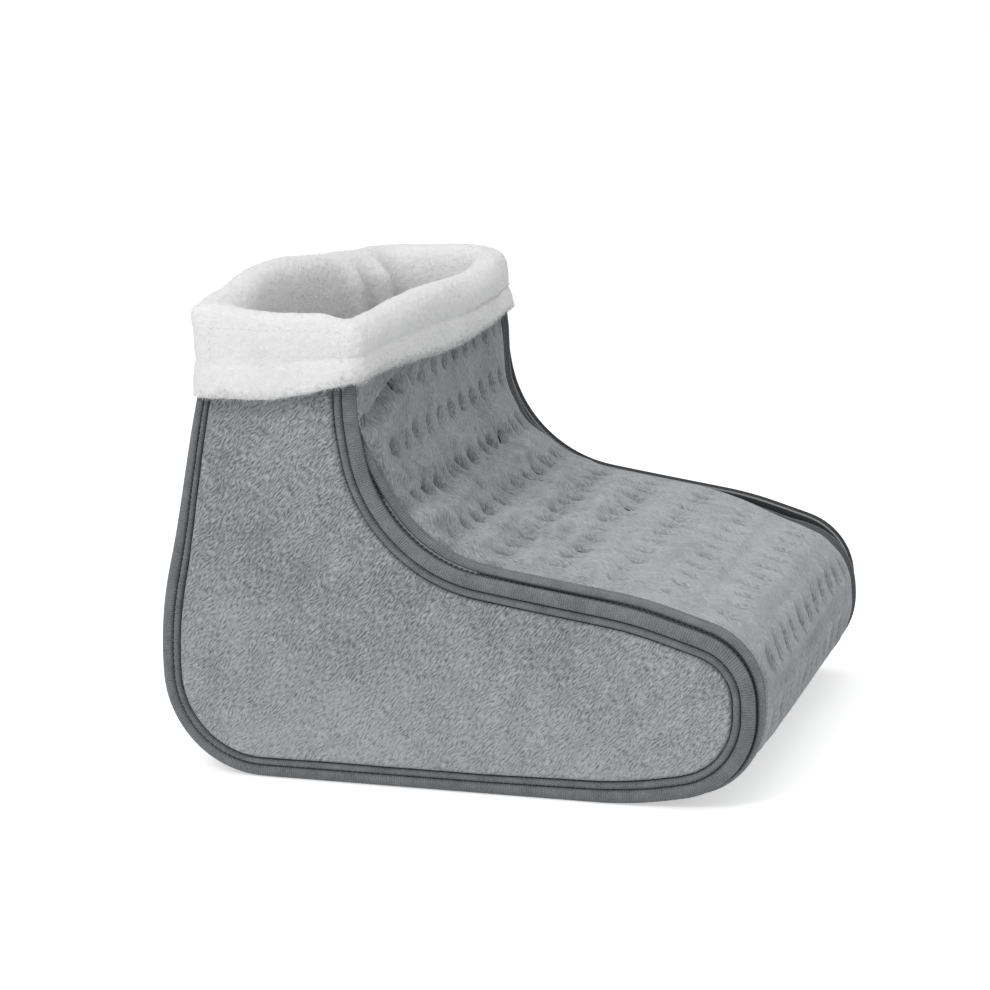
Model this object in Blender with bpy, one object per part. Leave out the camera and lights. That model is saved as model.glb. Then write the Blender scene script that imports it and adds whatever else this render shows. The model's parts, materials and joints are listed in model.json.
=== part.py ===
"""An electric foot warmer: a soft boot for both feet, as an assembly of its sewn pieces.

Lengths are in metres and +Z is up. +X points to the toe and the right-hand side panel is at -Y.
The origin lies on the floor, under the middle of the boot's length and width.

The boot's shape is one side outline of straight lines and fillets. The side panels are cut to it,
and the strip between them follows it, a little further in. A place along the outline is its length
from the front of the rim, and a depth is measured from the outline into the boot.
"""

import math

import bmesh
import bpy
from mathutils import Matrix, Vector

# The boot as a whole
BOOT_LENGTH = 0.320
BOOT_WIDTH = 0.260
SHAFT_HEIGHT = 0.239

# The side outline, front of the rim to back of the rim; a setback is measured from the toe
SHAFT_DEPTH = 0.0753
KNEE_DROP = 0.044
KNEE_RADIUS = 0.100
INSTEP_FORWARD = 0.0105
INSTEP_HEIGHT = 0.1245
INSTEP_RADIUS = 0.072
VAMP_SETBACK = 0.060
VAMP_HEIGHT = 0.103
VAMP_RADIUS = 0.200
TOE_CROWN_HEIGHT = 0.0844
TOE_UPPER_RADIUS = 0.036
TOE_SPRING = 0.013
TOE_LOWER_RADIUS = 0.046
TOE_SPRING_SETBACK = 0.065
TOE_SPRING_RADIUS = 0.200
HEEL_RADIUS = 0.054
HEEL_SWELL_HEIGHT = 0.086
HEEL_SWELL_RADIUS = 0.220
SHAFT_LEAN = 0.0387
FILLET_ROOM_SHARE = 0.95

# Clearances
SEWN_GAP = 0.0003
SLIDE_GAP = 0.0005

# Tape that edges the panels, the strip and the rim
TAPE_THICKNESS = 0.0007
SIDE_TAPE_BAND = 0.0080
SIDE_TAPE_RIDGE = 0.0034
SIDE_TAPE_LOFT = 0.0005
TAPE_GROOVE = 0.0006
GUSSET_TAPE_BAND = 0.0058
GUSSET_TAPE_RIDGE = 0.0030
GUSSET_TAPE_LOFT = 0.0004
TAPE_ROUNDING = 0.0010
RIM_TAPE_DROP = 0.010

# Side panel, from its face inwards
SIDE_FACE_THICKNESS = 0.0025
SIDE_FACE_RISE = 0.0012
SIDE_FACE_SLOPE = 0.0030
SIDE_FOAM_THICKNESS = 0.0030
SIDE_BACKING_THICKNESS = 0.0007

# Strip between the side panels, from its face inwards
STRIP_SET_IN = 0.0025
STRIP_FACE_THICKNESS = 0.0032
WIRE_DIAMETER = 0.0016
STRIP_BACKING_THICKNESS = 0.0007
STRIP_FACE_RECESS = 0.0003
SEAM_MARGIN = 0.005

# Quilting of the upper
QUILT_CROWN = 0.0025
QUILT_FADE = 0.030
QUILT_SHOULDER = 0.0040
TACK_PITCH = 0.0186
TACK_ROW_PITCH = 0.030
TACK_LENGTH = 0.005
TACK_DEPTH = 0.0034
TACK_EDGE_MARGIN = 0.0135
FIRST_TACK_ROW = 0.037
LAST_TACK_MARGIN = 0.018
TACK_PULL_SHARE = 0.22

# Sole
SOLE_CLOTH_THICKNESS = 0.0010
SOLE_EDGE_SLOPE = 0.0035
FOAM_EDGE_SHARE = 0.17
FOAM_LOW_EDGE_SHARE = 0.33

# Heating wire and its leads
WIRE_EDGE_MARGIN = 0.026
WIRE_TURN_BULGE = 0.011
SOLE_LANE_PITCH = 0.028
SOLE_LANE_MARGIN = 0.012
WIRE_JOINT_LENGTH = 0.008
WIRE_END_LENGTH = 0.010
LEAD_DIAMETER = 0.0014
LEAD_PITCH = 0.007
CUTOUT_LENGTH = 0.014
CUTOUT_WIDTH = 0.006
SENSOR_LENGTH = 0.008
SENSOR_WIDTH = 0.004
SLEEVE_LENGTH = 0.006
SLEEVE_WIDTH = 0.024
LEAD_END_SETBACK = 0.0215

# Inlet on the heel
INLET_HEIGHT = 0.060
INLET_WIDTH = 0.034
INLET_TALLNESS = 0.022
INLET_DEPTH = 0.0100
INLET_PROUD = 0.0021
INLET_WALL = 0.0025
INLET_BASE = 0.0025
INLET_CORNER = 0.0015
PIN_LENGTH = 0.0028
PIN_WIDTH = 0.0040
PIN_THICKNESS = 0.0010
PIN_PITCH = 0.0080
FLANGE_BORDER = 0.0055
FLANGE_THICKNESS = 0.0012

# Fleece liner
FLEECE_THICKNESS = 0.0040
COLLAR_HEIGHT = 0.043
COLLAR_TOP_DROP = 0.006
COLLAR_CORNER = 0.012
LINER_HEEL_HEIGHT = 0.080
LINER_SWELL_RADIUS = 0.120
CUFF_END_GAP = 0.0006
CUFF_THICKNESS = 0.0052
CUFF_CREST = 0.0065
CUFF_DEPTH = 0.041
HEM_HEIGHT = 0.019
HEM_EXTRA = 0.0016
HEM_ROLL_SHARE = 0.2
CREST_ROUNDING_SHARE = 0.125
CUFF_CORNER = 0.014

# Hook-and-loop patches under the cuff
PATCH_LENGTH = 0.044
PATCH_HEIGHT = 0.016
PATCH_THICKNESS = 0.0013
PATCH_DROP = 0.013

# How the soft shaft stands by itself: its back bows out and rises, and its left side sinks
BACK_BOW = 0.014
BOW_BOTTOM = 0.113
BOW_SKEW = 0.64
BACK_RISE = 0.0093
RISE_NARROWING = 1.2
FRONT_SINK = 0.0088
BACK_SINK = 0.003
SINK_START = 1 / 3

# Faceting
BACK_ROWS = 8
ACROSS_CELLS = 12
SIDE_ARC_STEP = math.radians(12)
FINE_ARC_STEP = math.radians(1)
CORNER_STEPS = 4
SMOOTH_ANGLE = math.radians(38)
CUT_OVERRUN = 0.010

# Pieces across the shaft that take the columns of its settled shape
WIDE_PIECES = ("heel_panel", "heel_backing", "upper_backing", "rim_binding", "cuff_band", "cuff_hem",
               "liner_collar", "liner_heel")

# Places that follow from the sizes above
TOE_X = BOOT_LENGTH / 2
HEEL_X = -BOOT_LENGTH / 2
RIM_BACK_X = HEEL_X + SHAFT_LEAN
SHAFT_FRONT_X = RIM_BACK_X + SHAFT_DEPTH
HALF_WIDTH = BOOT_WIDTH / 2
SIDE_TAPE_INNER = SIDE_TAPE_LOFT + TAPE_THICKNESS
SIDE_TAPE_REACH = SIDE_TAPE_BAND + SIDE_TAPE_RIDGE
SIDE_FACE_TOP = SIDE_TAPE_INNER + SEWN_GAP
SIDE_FOAM_TOP = SIDE_FACE_TOP + SIDE_FACE_THICKNESS + SEWN_GAP
SIDE_BACKING_TOP = SIDE_FOAM_TOP + SIDE_FOAM_THICKNESS + SEWN_GAP
SIDE_BACKING_END = SIDE_BACKING_TOP + SIDE_BACKING_THICKNESS
SIDE_TAPE_WIDTH = SIDE_BACKING_END + SEWN_GAP + TAPE_THICKNESS
PANEL_EDGE = TAPE_THICKNESS + SEWN_GAP
GUSSET_HALF_WIDTH = HALF_WIDTH - SIDE_TAPE_WIDTH - SEWN_GAP
STRIP_HALF_WIDTH = GUSSET_HALF_WIDTH - TAPE_THICKNESS - SEWN_GAP
GUSSET_TAPE_REACH = GUSSET_TAPE_BAND + GUSSET_TAPE_RIDGE
STRIP_CLEAR_HALF = GUSSET_HALF_WIDTH - GUSSET_TAPE_REACH - SEWN_GAP
STRIP_EDGE_TOP = STRIP_SET_IN + STRIP_FACE_RECESS + SEWN_GAP
STRIP_FACE_END = STRIP_SET_IN + STRIP_FACE_THICKNESS
WIRE_DEPTH = STRIP_FACE_END + SEWN_GAP + WIRE_DIAMETER / 2
STRIP_BACKING_TOP = STRIP_FACE_END + WIRE_DIAMETER + 2 * SEWN_GAP
STRIP_BACKING_END = STRIP_BACKING_TOP + STRIP_BACKING_THICKNESS
GUSSET_TAPE_END = STRIP_BACKING_END + SEWN_GAP + TAPE_THICKNESS
RIM_WALL = GUSSET_TAPE_END + SEWN_GAP + TAPE_THICKNESS
RIM_SIDE_WALL = SIDE_TAPE_WIDTH + SEWN_GAP + TAPE_THICKNESS
RIM_TAPE_TOP = SHAFT_HEIGHT + SEWN_GAP + TAPE_THICKNESS
LINER_DEPTH = RIM_WALL + SLIDE_GAP
LINER_SIDE_DEPTH = RIM_SIDE_WALL + SLIDE_GAP
LINER_HALF_WIDTH = HALF_WIDTH - LINER_SIDE_DEPTH
BACK_LEAN = SHAFT_LEAN / (SHAFT_HEIGHT - HEEL_SWELL_HEIGHT)
BACK_STRETCH = math.sqrt(1 + BACK_LEAN * BACK_LEAN)
CREST_BOTTOM = RIM_TAPE_TOP + SEWN_GAP
CREST_TOP = CREST_BOTTOM + CUFF_CREST
CUFF_BOTTOM = CREST_TOP - CUFF_DEPTH
HEM_TOP = CUFF_BOTTOM + HEM_HEIGHT
OUTER_TAPE = SEWN_GAP + TAPE_THICKNESS
PANEL_FACE = SIDE_FACE_TOP - SIDE_FACE_RISE
PATCH_STACK = 2 * (PATCH_THICKNESS + SEWN_GAP) - PANEL_FACE
CUFF_END_INNER = OUTER_TAPE + CUFF_END_GAP
CUFF_SIDE_INNER = PATCH_STACK + SEWN_GAP
COLLAR_TOP = SHAFT_HEIGHT - COLLAR_TOP_DROP
COLLAR_BOTTOM = COLLAR_TOP - COLLAR_HEIGHT
LINER_TOP = COLLAR_BOTTOM - SEWN_GAP
LINER_STRIP_HALF = LINER_HALF_WIDTH - FLEECE_THICKNESS - SEWN_GAP
INNER_FRONT_X = SHAFT_FRONT_X - LINER_DEPTH - FLEECE_THICKNESS
INNER_BACK_X = RIM_BACK_X + BACK_STRETCH * (LINER_DEPTH + FLEECE_THICKNESS)

FLANNEL_GREY = (0.27, 0.285, 0.30)
TAPE_GREY = (0.16, 0.17, 0.18)
FLEECE_WHITE = (0.83, 0.83, 0.83)
FOAM_WHITE = (0.72, 0.72, 0.70)
CLOTH_GREY = (0.33, 0.33, 0.34)
GRIP_GREY = (0.06, 0.06, 0.065)
WIRE_WHITE = (0.75, 0.72, 0.66)
PLASTIC_BLACK = (0.02, 0.02, 0.022)
BRASS_YELLOW = (0.78, 0.57, 0.28)
LEAD_BLUE = (0.05, 0.14, 0.45)
LEAD_BROWN = (0.16, 0.07, 0.03)
SLEEVE_GREY = (0.10, 0.10, 0.11)


# Stations along an outline

class Station:
    """A place on an outline: its length along it, its point in X and Z, and the way inwards."""

    def __init__(self, along, x, z, inward_x, inward_z):
        self.along = along
        self.x = x
        self.z = z
        self.inward_x = inward_x
        self.inward_z = inward_z

    def point(self, depth, y):
        """The point at this depth under the outline, at this width."""
        return Vector((self.x + self.inward_x * depth, y, self.z + self.inward_z * depth))


def boot_corners():
    """The corners of the boot's side outline with their fillet radii, front of the rim first."""
    return [
        (SHAFT_FRONT_X, SHAFT_HEIGHT, 0),
        (SHAFT_FRONT_X, SHAFT_HEIGHT - KNEE_DROP, KNEE_RADIUS),
        (SHAFT_FRONT_X + INSTEP_FORWARD, INSTEP_HEIGHT, INSTEP_RADIUS),
        (TOE_X - VAMP_SETBACK, VAMP_HEIGHT, VAMP_RADIUS),
        (TOE_X, TOE_CROWN_HEIGHT, TOE_UPPER_RADIUS),
        (TOE_X, TOE_SPRING, TOE_LOWER_RADIUS),
        (TOE_X - TOE_SPRING_SETBACK, 0, TOE_SPRING_RADIUS),
        (HEEL_X, 0, HEEL_RADIUS),
        (HEEL_X, HEEL_SWELL_HEIGHT, HEEL_SWELL_RADIUS),
        (RIM_BACK_X, SHAFT_HEIGHT, 0),
    ]


TOE_SPRING_CORNER = 6
HEEL_CORNER = 7


def turn_of(before, after):
    """The signed angle from one direction to the next, positive to the left."""
    cross = before.x * after.y - before.y * after.x
    return math.atan2(cross, before.dot(after))


def fitted_radii(corners, directions, lengths):
    """The fillet radii, made smaller where two fillets would overrun the line between them."""
    radii = [corner[2] for corner in corners]
    tangents = [0.0] * len(corners)
    for i in range(1, len(corners) - 1):
        half_turn = abs(turn_of(directions[i - 1], directions[i])) / 2
        tangents[i] = radii[i] * math.tan(half_turn)
    for i in range(1, len(corners) - 1):
        before = lengths[i - 1] / (tangents[i - 1] + tangents[i])
        after = lengths[i] / (tangents[i] + tangents[i + 1])
        radii[i] *= min(1, before * FILLET_ROOM_SHARE, after * FILLET_ROOM_SHARE)
    return radii


def outline_stations(corners, arc_step):
    """Stations along an outline of lines and fillets, and where each corner's fillet starts and ends."""
    points = [Vector((x, z)) for x, z, _ in corners]
    spans = [b - a for a, b in zip(points, points[1:])]
    directions = [span.normalized() for span in spans]
    radii = fitted_radii(corners, directions, [span.length for span in spans])
    stations = []
    fillets = {}
    along = 0.0

    def add(point, direction):
        stations.append(Station(along, point.x, point.y, direction.y, -direction.x))

    add(points[0], directions[0])
    here = points[0]
    for i in range(1, len(points) - 1):
        turn = turn_of(directions[i - 1], directions[i])
        side = math.copysign(1, turn)
        tangent = radii[i] * math.tan(abs(turn) / 2)
        start = points[i] - directions[i - 1] * tangent
        along += (start - here).length
        left = Vector((-directions[i - 1].y, directions[i - 1].x))
        centre = start + left * side * radii[i]
        steps = max(1, math.ceil(abs(turn) / arc_step))
        fillet_start = along
        for step in range(steps + 1):
            angle = turn * step / steps
            direction = directions[i - 1].copy()
            direction.rotate(Matrix.Rotation(angle, 2))
            left = Vector((-direction.y, direction.x))
            along = fillet_start + radii[i] * abs(angle)
            add(centre - left * side * radii[i], direction)
        here = points[i] + directions[i] * tangent
        fillets[i] = (fillet_start, along)
    along += (points[-1] - here).length
    add(points[-1], directions[-1])
    for end in (stations[0], stations[-1]):
        end.inward_x = 1 / end.inward_x
        end.inward_z = 0
    return stations, fillets


def station_at(stations, along):
    """The station at this length, between its two neighbours."""
    for before, after in zip(stations, stations[1:]):
        if along <= after.along:
            break
    span = after.along - before.along
    share = (along - before.along) / span if span else 0
    return Station(
        along,
        before.x + (after.x - before.x) * share,
        before.z + (after.z - before.z) * share,
        before.inward_x + (after.inward_x - before.inward_x) * share,
        before.inward_z + (after.inward_z - before.inward_z) * share,
    )


def with_back_rows(stations):
    """The stations, with more of them up the back, where it bows."""
    low, high = stations[-2:]
    row_height = (SHAFT_HEIGHT - BOW_BOTTOM) / BACK_ROWS
    added = []
    for row in range(BACK_ROWS):
        share = (BOW_BOTTOM + row * row_height - low.z) / (high.z - low.z)
        if 0 < share < 1:
            added.append(station_at(stations, low.along + (high.along - low.along) * share))
    return stations[:-1] + added + stations[-1:]


# How the shaft settles

def share_of(value, start, end):
    """How far a value is on its way from start to end, kept between 0 and 1."""
    return min(1, max(0, (value - start) / (end - start)))


def settled(point):
    """Where a point of the true pattern is when the soft shaft stands by itself."""
    across = share_of(point.y, -STRIP_HALF_WIDTH, STRIP_HALF_WIDTH)
    back = share_of(point.x, INNER_FRONT_X, INNER_BACK_X)
    climb = share_of(point.z, BOW_BOTTOM, SHAFT_HEIGHT)
    under_cuff = share_of(point.z, CUFF_BOTTOM, SHAFT_HEIGHT)
    swell = max(0, math.sin(math.pi * across * (1 + BOW_SKEW * (1 - across))))
    bow = BACK_BOW * back * swell * climb * climb * (3 - 2 * climb)
    rise = BACK_RISE * back * swell ** RISE_NARROWING
    far_side = share_of(across, SINK_START, 1)
    along_rim = share_of(point.x, SHAFT_FRONT_X, RIM_BACK_X)
    sink = (FRONT_SINK + (BACK_SINK - FRONT_SINK) * along_rim) * far_side
    return Vector((point.x - bow, point.y, point.z + under_cuff * (rise - sink)))


def cut_across(bm):
    """Cut the faces above the bow's bottom into the same columns in every piece."""
    columns = [STRIP_HALF_WIDTH * (2 * i / ACROSS_CELLS - 1) for i in range(1, ACROSS_CELLS)]
    for y in columns + [-STRIP_CLEAR_HALF, STRIP_CLEAR_HALF]:
        high = [face for face in bm.faces if max(vert.co.z for vert in face.verts) > BOW_BOTTOM]
        edges = {edge for face in high for edge in face.edges}
        verts = {vert for face in high for vert in face.verts}
        bmesh.ops.bisect_plane(bm, geom=[*high, *edges, *verts], plane_co=(0, y, 0), plane_no=(0, 1, 0))


def split_quads(bm):
    """Split the quads along the diagonal that climbs towards the middle, alike in all layers."""
    for face in [face for face in bm.faces if len(face.verts) == 4]:
        corners = list(face.verts)
        low = min(range(4), key=lambda i: corners[i].co.z - abs(corners[i].co.y))
        bmesh.utils.face_split(face, corners[low], corners[(low + 2) % 4])


def settle(thing, wide):
    """Let one piece follow the shaft; a wide piece is cut into columns first."""
    bm = bmesh.new()
    bm.from_mesh(thing.data)
    if wide:
        cut_across(bm)
    for vert in bm.verts:
        vert.co = settled(vert.co)
    split_quads(bm)
    bm.to_mesh(thing.data)
    bm.free()
    thing.data.set_sharp_from_angle(angle=SMOOTH_ANGLE)


# Scene, materials and meshes

def clear_scene():
    """Remove every object of the scene that the script is run in."""
    for thing in list(bpy.data.objects):
        bpy.data.objects.remove(thing, do_unlink=True)


def finish(name, colour, roughness, metallic=0.0):
    """A material of one colour."""
    material = bpy.data.materials.new(name)
    material.use_nodes = True
    shader = material.node_tree.nodes["Principled BSDF"]
    shader.inputs["Base Color"].default_value = (*colour, 1)
    shader.inputs["Roughness"].default_value = roughness
    shader.inputs["Metallic"].default_value = metallic
    return material


def place(name, bm, material):
    """Make an object of a bmesh, with outward faces and smooth shading on its round parts."""
    bmesh.ops.recalc_face_normals(bm, faces=bm.faces)
    mesh = bpy.data.meshes.new(name)
    bm.to_mesh(mesh)
    bm.free()
    mesh.shade_smooth()
    mesh.set_sharp_from_angle(angle=SMOOTH_ANGLE)
    mesh.materials.append(material)
    thing = bpy.data.objects.new(name, mesh)
    bpy.context.collection.objects.link(thing)
    return thing


def loft(name, rings, material, ring_closed_on_itself=False):
    """A solid through rings of equally many points, capped at its ends or led back to its start."""
    bm = bmesh.new()
    grid = [[bm.verts.new(point) for point in ring] for ring in rings]
    pairs = list(zip(grid, grid[1:]))
    if ring_closed_on_itself:
        pairs.append((grid[-1], grid[0]))
    else:
        bm.faces.new(grid[0])
        bm.faces.new(grid[-1])
    for ring, following in pairs:
        for i in range(len(ring)):
            j = (i + 1) % len(ring)
            bm.faces.new((ring[i], ring[j], following[j], following[i]))
    return place(name, bm, material)


def block(name, low, high, material, bevel=0):
    """A box between two corners, with its edges rounded if a bevel is given."""
    bm = bmesh.new()
    size = Vector(high) - Vector(low)
    bmesh.ops.create_cube(bm, size=1)
    bmesh.ops.scale(bm, vec=size, verts=bm.verts)
    bmesh.ops.translate(bm, vec=(Vector(high) + Vector(low)) / 2, verts=bm.verts)
    if bevel:
        bmesh.ops.bevel(bm, geom=bm.edges, offset=bevel, segments=2, affect="EDGES", profile=0.5)
    return place(name, bm, material)


def cord(name, points, diameter, material):
    """A round cord along a line of points, with closed ends."""
    curve = bpy.data.curves.new(name, "CURVE")
    curve.dimensions = "3D"
    curve.bevel_depth = diameter / 2
    curve.bevel_resolution = 1
    curve.use_fill_caps = True
    spline = curve.splines.new("POLY")
    spline.points.add(len(points) - 1)
    for target, point in zip(spline.points, points):
        target.co = (*point, 1)
    curve.materials.append(material)
    thing = bpy.data.objects.new(name, curve)
    bpy.context.collection.objects.link(thing)
    return thing


def cut(target, name, low, high):
    """Cut a box out of a solid."""
    cutter = block(name, low, high, target.data.materials[0])
    cutter.hide_render = True
    cutter.display_type = "WIRE"
    boolean = target.modifiers.new(name, "BOOLEAN")
    boolean.operation = "DIFFERENCE"
    boolean.solver = "EXACT"
    boolean.object = cutter


# Side panels

def side_ring(stations, depth, y):
    """The panel's outline, drawn in by a depth on all sides, at one place across the boot."""
    ring = [station.point(depth, y) for station in stations]
    top = SHAFT_HEIGHT - depth
    ring[0] = Vector((SHAFT_FRONT_X - depth, y, top))
    ring[-1] = Vector((RIM_BACK_X + depth * (BACK_STRETCH - BACK_LEAN), y, top))
    return ring


def make_side_panel(side, word, stations, materials):
    """One side panel: a face drawn in under the tape, foam and an inner cloth."""

    def across(depth):
        return side * (HALF_WIDTH - depth)

    raised_top = SIDE_FACE_TOP - SIDE_FACE_RISE
    raised_edge = SIDE_TAPE_REACH + SEWN_GAP
    face_rings = [
        side_ring(stations, PANEL_EDGE, across(SIDE_FACE_TOP + SIDE_FACE_THICKNESS)),
        side_ring(stations, PANEL_EDGE, across(SIDE_FACE_TOP)),
        side_ring(stations, raised_edge, across(SIDE_FACE_TOP)),
        side_ring(stations, raised_edge + SIDE_FACE_SLOPE, across(raised_top)),
    ]
    loft(f"side_face_{word}", face_rings, materials["flannel"])
    layers = (
        ("foam", SIDE_FOAM_TOP, SIDE_FOAM_THICKNESS, materials["foam"]),
        ("backing", SIDE_BACKING_TOP, SIDE_BACKING_THICKNESS, materials["cloth"]),
    )
    for layer, top, thickness, material in layers:
        rings = [side_ring(stations, PANEL_EDGE, across(top + depth)) for depth in (0, thickness)]
        loft(f"side_{layer}_{word}", rings, material)


def side_tape_profile():
    """Section of the tape round a panel's edge: depth under the outline, and depth from the face."""
    reach = SIDE_TAPE_REACH
    width = SIDE_TAPE_WIDTH
    ridge_middle = SIDE_TAPE_BAND + SIDE_TAPE_RIDGE / 2
    return [
        (reach, SIDE_TAPE_INNER),
        (reach, SIDE_TAPE_LOFT),
        (ridge_middle, 0),
        (SIDE_TAPE_BAND + TAPE_GROOVE, TAPE_GROOVE),
        (SIDE_TAPE_BAND, SIDE_TAPE_LOFT / 2),
        (SIDE_TAPE_BAND / 2, 0),
        (TAPE_ROUNDING, SIDE_TAPE_LOFT / 2),
        (0, TAPE_ROUNDING),
        (0, width - TAPE_ROUNDING),
        (TAPE_ROUNDING, width),
        (SIDE_TAPE_BAND, width),
        (SIDE_TAPE_BAND, width - TAPE_THICKNESS),
        (TAPE_THICKNESS, width - TAPE_THICKNESS),
        (TAPE_THICKNESS, SIDE_TAPE_INNER),
    ]


def gusset_tape_profile():
    """Section of the tape round the strip's edge: depth under the outline, and depth from its edge."""
    top = STRIP_SET_IN - GUSSET_TAPE_LOFT
    reach = GUSSET_TAPE_REACH
    ridge_middle = GUSSET_TAPE_BAND + GUSSET_TAPE_RIDGE / 2
    return [
        (STRIP_SET_IN + STRIP_FACE_RECESS, reach),
        (STRIP_SET_IN, reach),
        (top, ridge_middle),
        (STRIP_SET_IN, GUSSET_TAPE_BAND),
        (top, GUSSET_TAPE_BAND / 2),
        (top, TAPE_ROUNDING),
        (STRIP_SET_IN + TAPE_ROUNDING, 0),
        (GUSSET_TAPE_END - TAPE_ROUNDING, 0),
        (GUSSET_TAPE_END, TAPE_ROUNDING),
        (GUSSET_TAPE_END, reach),
        (GUSSET_TAPE_END - TAPE_THICKNESS, reach),
        (GUSSET_TAPE_END - TAPE_THICKNESS, TAPE_THICKNESS),
        (STRIP_SET_IN + STRIP_FACE_RECESS, TAPE_THICKNESS),
    ]


def make_tape(name, profile, half_width, side, stations, material):
    """A folded tape: its section carried along the outline from rim to rim."""
    rings = []
    for station in stations:
        rings.append([station.point(depth, side * (half_width - inset)) for depth, inset in profile])
    loft(name, rings, material)


# The strip between the panels

def strip_rows(fine, tack_rows, end):
    """The stations that all layers of the strip share, so that they keep an even gap on its bends."""
    half_tack = TACK_LENGTH / 2
    places = [0, tack_rows[0] / 2]
    for row in tack_rows:
        places += [row - half_tack, row + half_tack, row + TACK_ROW_PITCH / 2]
    places = [place for place in places if place < end - half_tack]
    return [station_at(fine, place) for place in places + [end]]


def quilt_depth(station, end, y, tack_columns, tack_rows):
    """How deep the quilted face lies at one place: crowned between the tapes, drawn in at each tack."""
    if abs(y) > STRIP_CLEAR_HALF - SEWN_GAP:
        return STRIP_EDGE_TOP
    fade = min(1, station.along / QUILT_FADE, (end - station.along) / QUILT_FADE)
    share = abs(y) / STRIP_CLEAR_HALF
    crown = QUILT_CROWN * (1 - share ** 4) * fade
    half_tack = TACK_LENGTH / 2
    in_row = any(abs(station.along - row) < TACK_LENGTH for row in tack_rows)
    in_column = any(abs(y - column) < half_tack for column in tack_columns)
    pull = 0.0
    if in_row and in_column:
        pull = TACK_DEPTH
    elif in_row or in_column:
        pull = TACK_DEPTH * TACK_PULL_SHARE
    return STRIP_SET_IN - crown + pull


def tack_places():
    """Where the tacks stand across the strip, evenly about its middle."""
    room = 2 * (STRIP_CLEAR_HALF - TACK_EDGE_MARGIN)
    count = int(room / TACK_PITCH) + 1
    return [(i - (count - 1) / 2) * TACK_PITCH for i in range(count)]


def make_quilted_upper(rows, end, tack_rows, material):
    """The quilted face: flannel and wadding drawn down by rows of short tacks."""
    tacks = tack_places()
    middles = [(a + b) / 2 for a, b in zip(tacks, tacks[1:])]
    shoulder = STRIP_CLEAR_HALF - QUILT_SHOULDER
    edges = [STRIP_HALF_WIDTH, STRIP_CLEAR_HALF, shoulder]
    across = sorted([-y for y in edges] + tacks + middles + edges)
    rings = []
    for station in rows:
        ring = [station.point(quilt_depth(station, end, y, tacks, tack_rows), y) for y in across]
        ring.append(station.point(STRIP_FACE_END, STRIP_HALF_WIDTH))
        ring.append(station.point(STRIP_FACE_END, -STRIP_HALF_WIDTH))
        rings.append(ring)
    loft("quilted_upper", rings, material)


def strip_layer(name, rows, top, bottom, material):
    """A plain layer of the strip between two depths, from edge to edge."""
    rings = []
    for station in rows:
        rings.append([
            station.point(top, -STRIP_HALF_WIDTH),
            station.point(top, STRIP_HALF_WIDTH),
            station.point(bottom, STRIP_HALF_WIDTH),
            station.point(bottom, -STRIP_HALF_WIDTH),
        ])
    return loft(name, rings, material)


def make_heel(rows, materials):
    """The strip's plain part up the heel, with a hole for the inlet."""
    face_middle = (STRIP_SET_IN + STRIP_EDGE_TOP) / 2
    rings = []
    for station in rows:
        ring = [
            station.point(STRIP_EDGE_TOP, -STRIP_HALF_WIDTH),
            station.point(STRIP_EDGE_TOP, -STRIP_CLEAR_HALF),
            station.point(face_middle, -STRIP_CLEAR_HALF + QUILT_SHOULDER / 2),
            station.point(STRIP_SET_IN, -STRIP_CLEAR_HALF + QUILT_SHOULDER),
        ]
        ring += [Vector((point.x, -point.y, point.z)) for point in reversed(ring)]
        ring.append(station.point(STRIP_FACE_END, STRIP_HALF_WIDTH))
        ring.append(station.point(STRIP_FACE_END, -STRIP_HALF_WIDTH))
        rings.append(ring)
    face = loft("heel_panel", rings, materials["flannel"])
    backing = strip_layer("heel_backing", rows, STRIP_BACKING_TOP, STRIP_BACKING_END, materials["cloth"])
    half_width = INLET_WIDTH / 2 + SEWN_GAP
    half_height = INLET_TALLNESS / 2 + SEWN_GAP
    low = (HEEL_X - CUT_OVERRUN, -half_width, INLET_HEIGHT - half_height)
    high = (HEEL_X + GUSSET_TAPE_END + CUT_OVERRUN, half_width, INLET_HEIGHT + half_height)
    cut(face, "inlet_hole_in_panel", low, high)
    cut(backing, "inlet_hole_in_backing", low, high)


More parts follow.
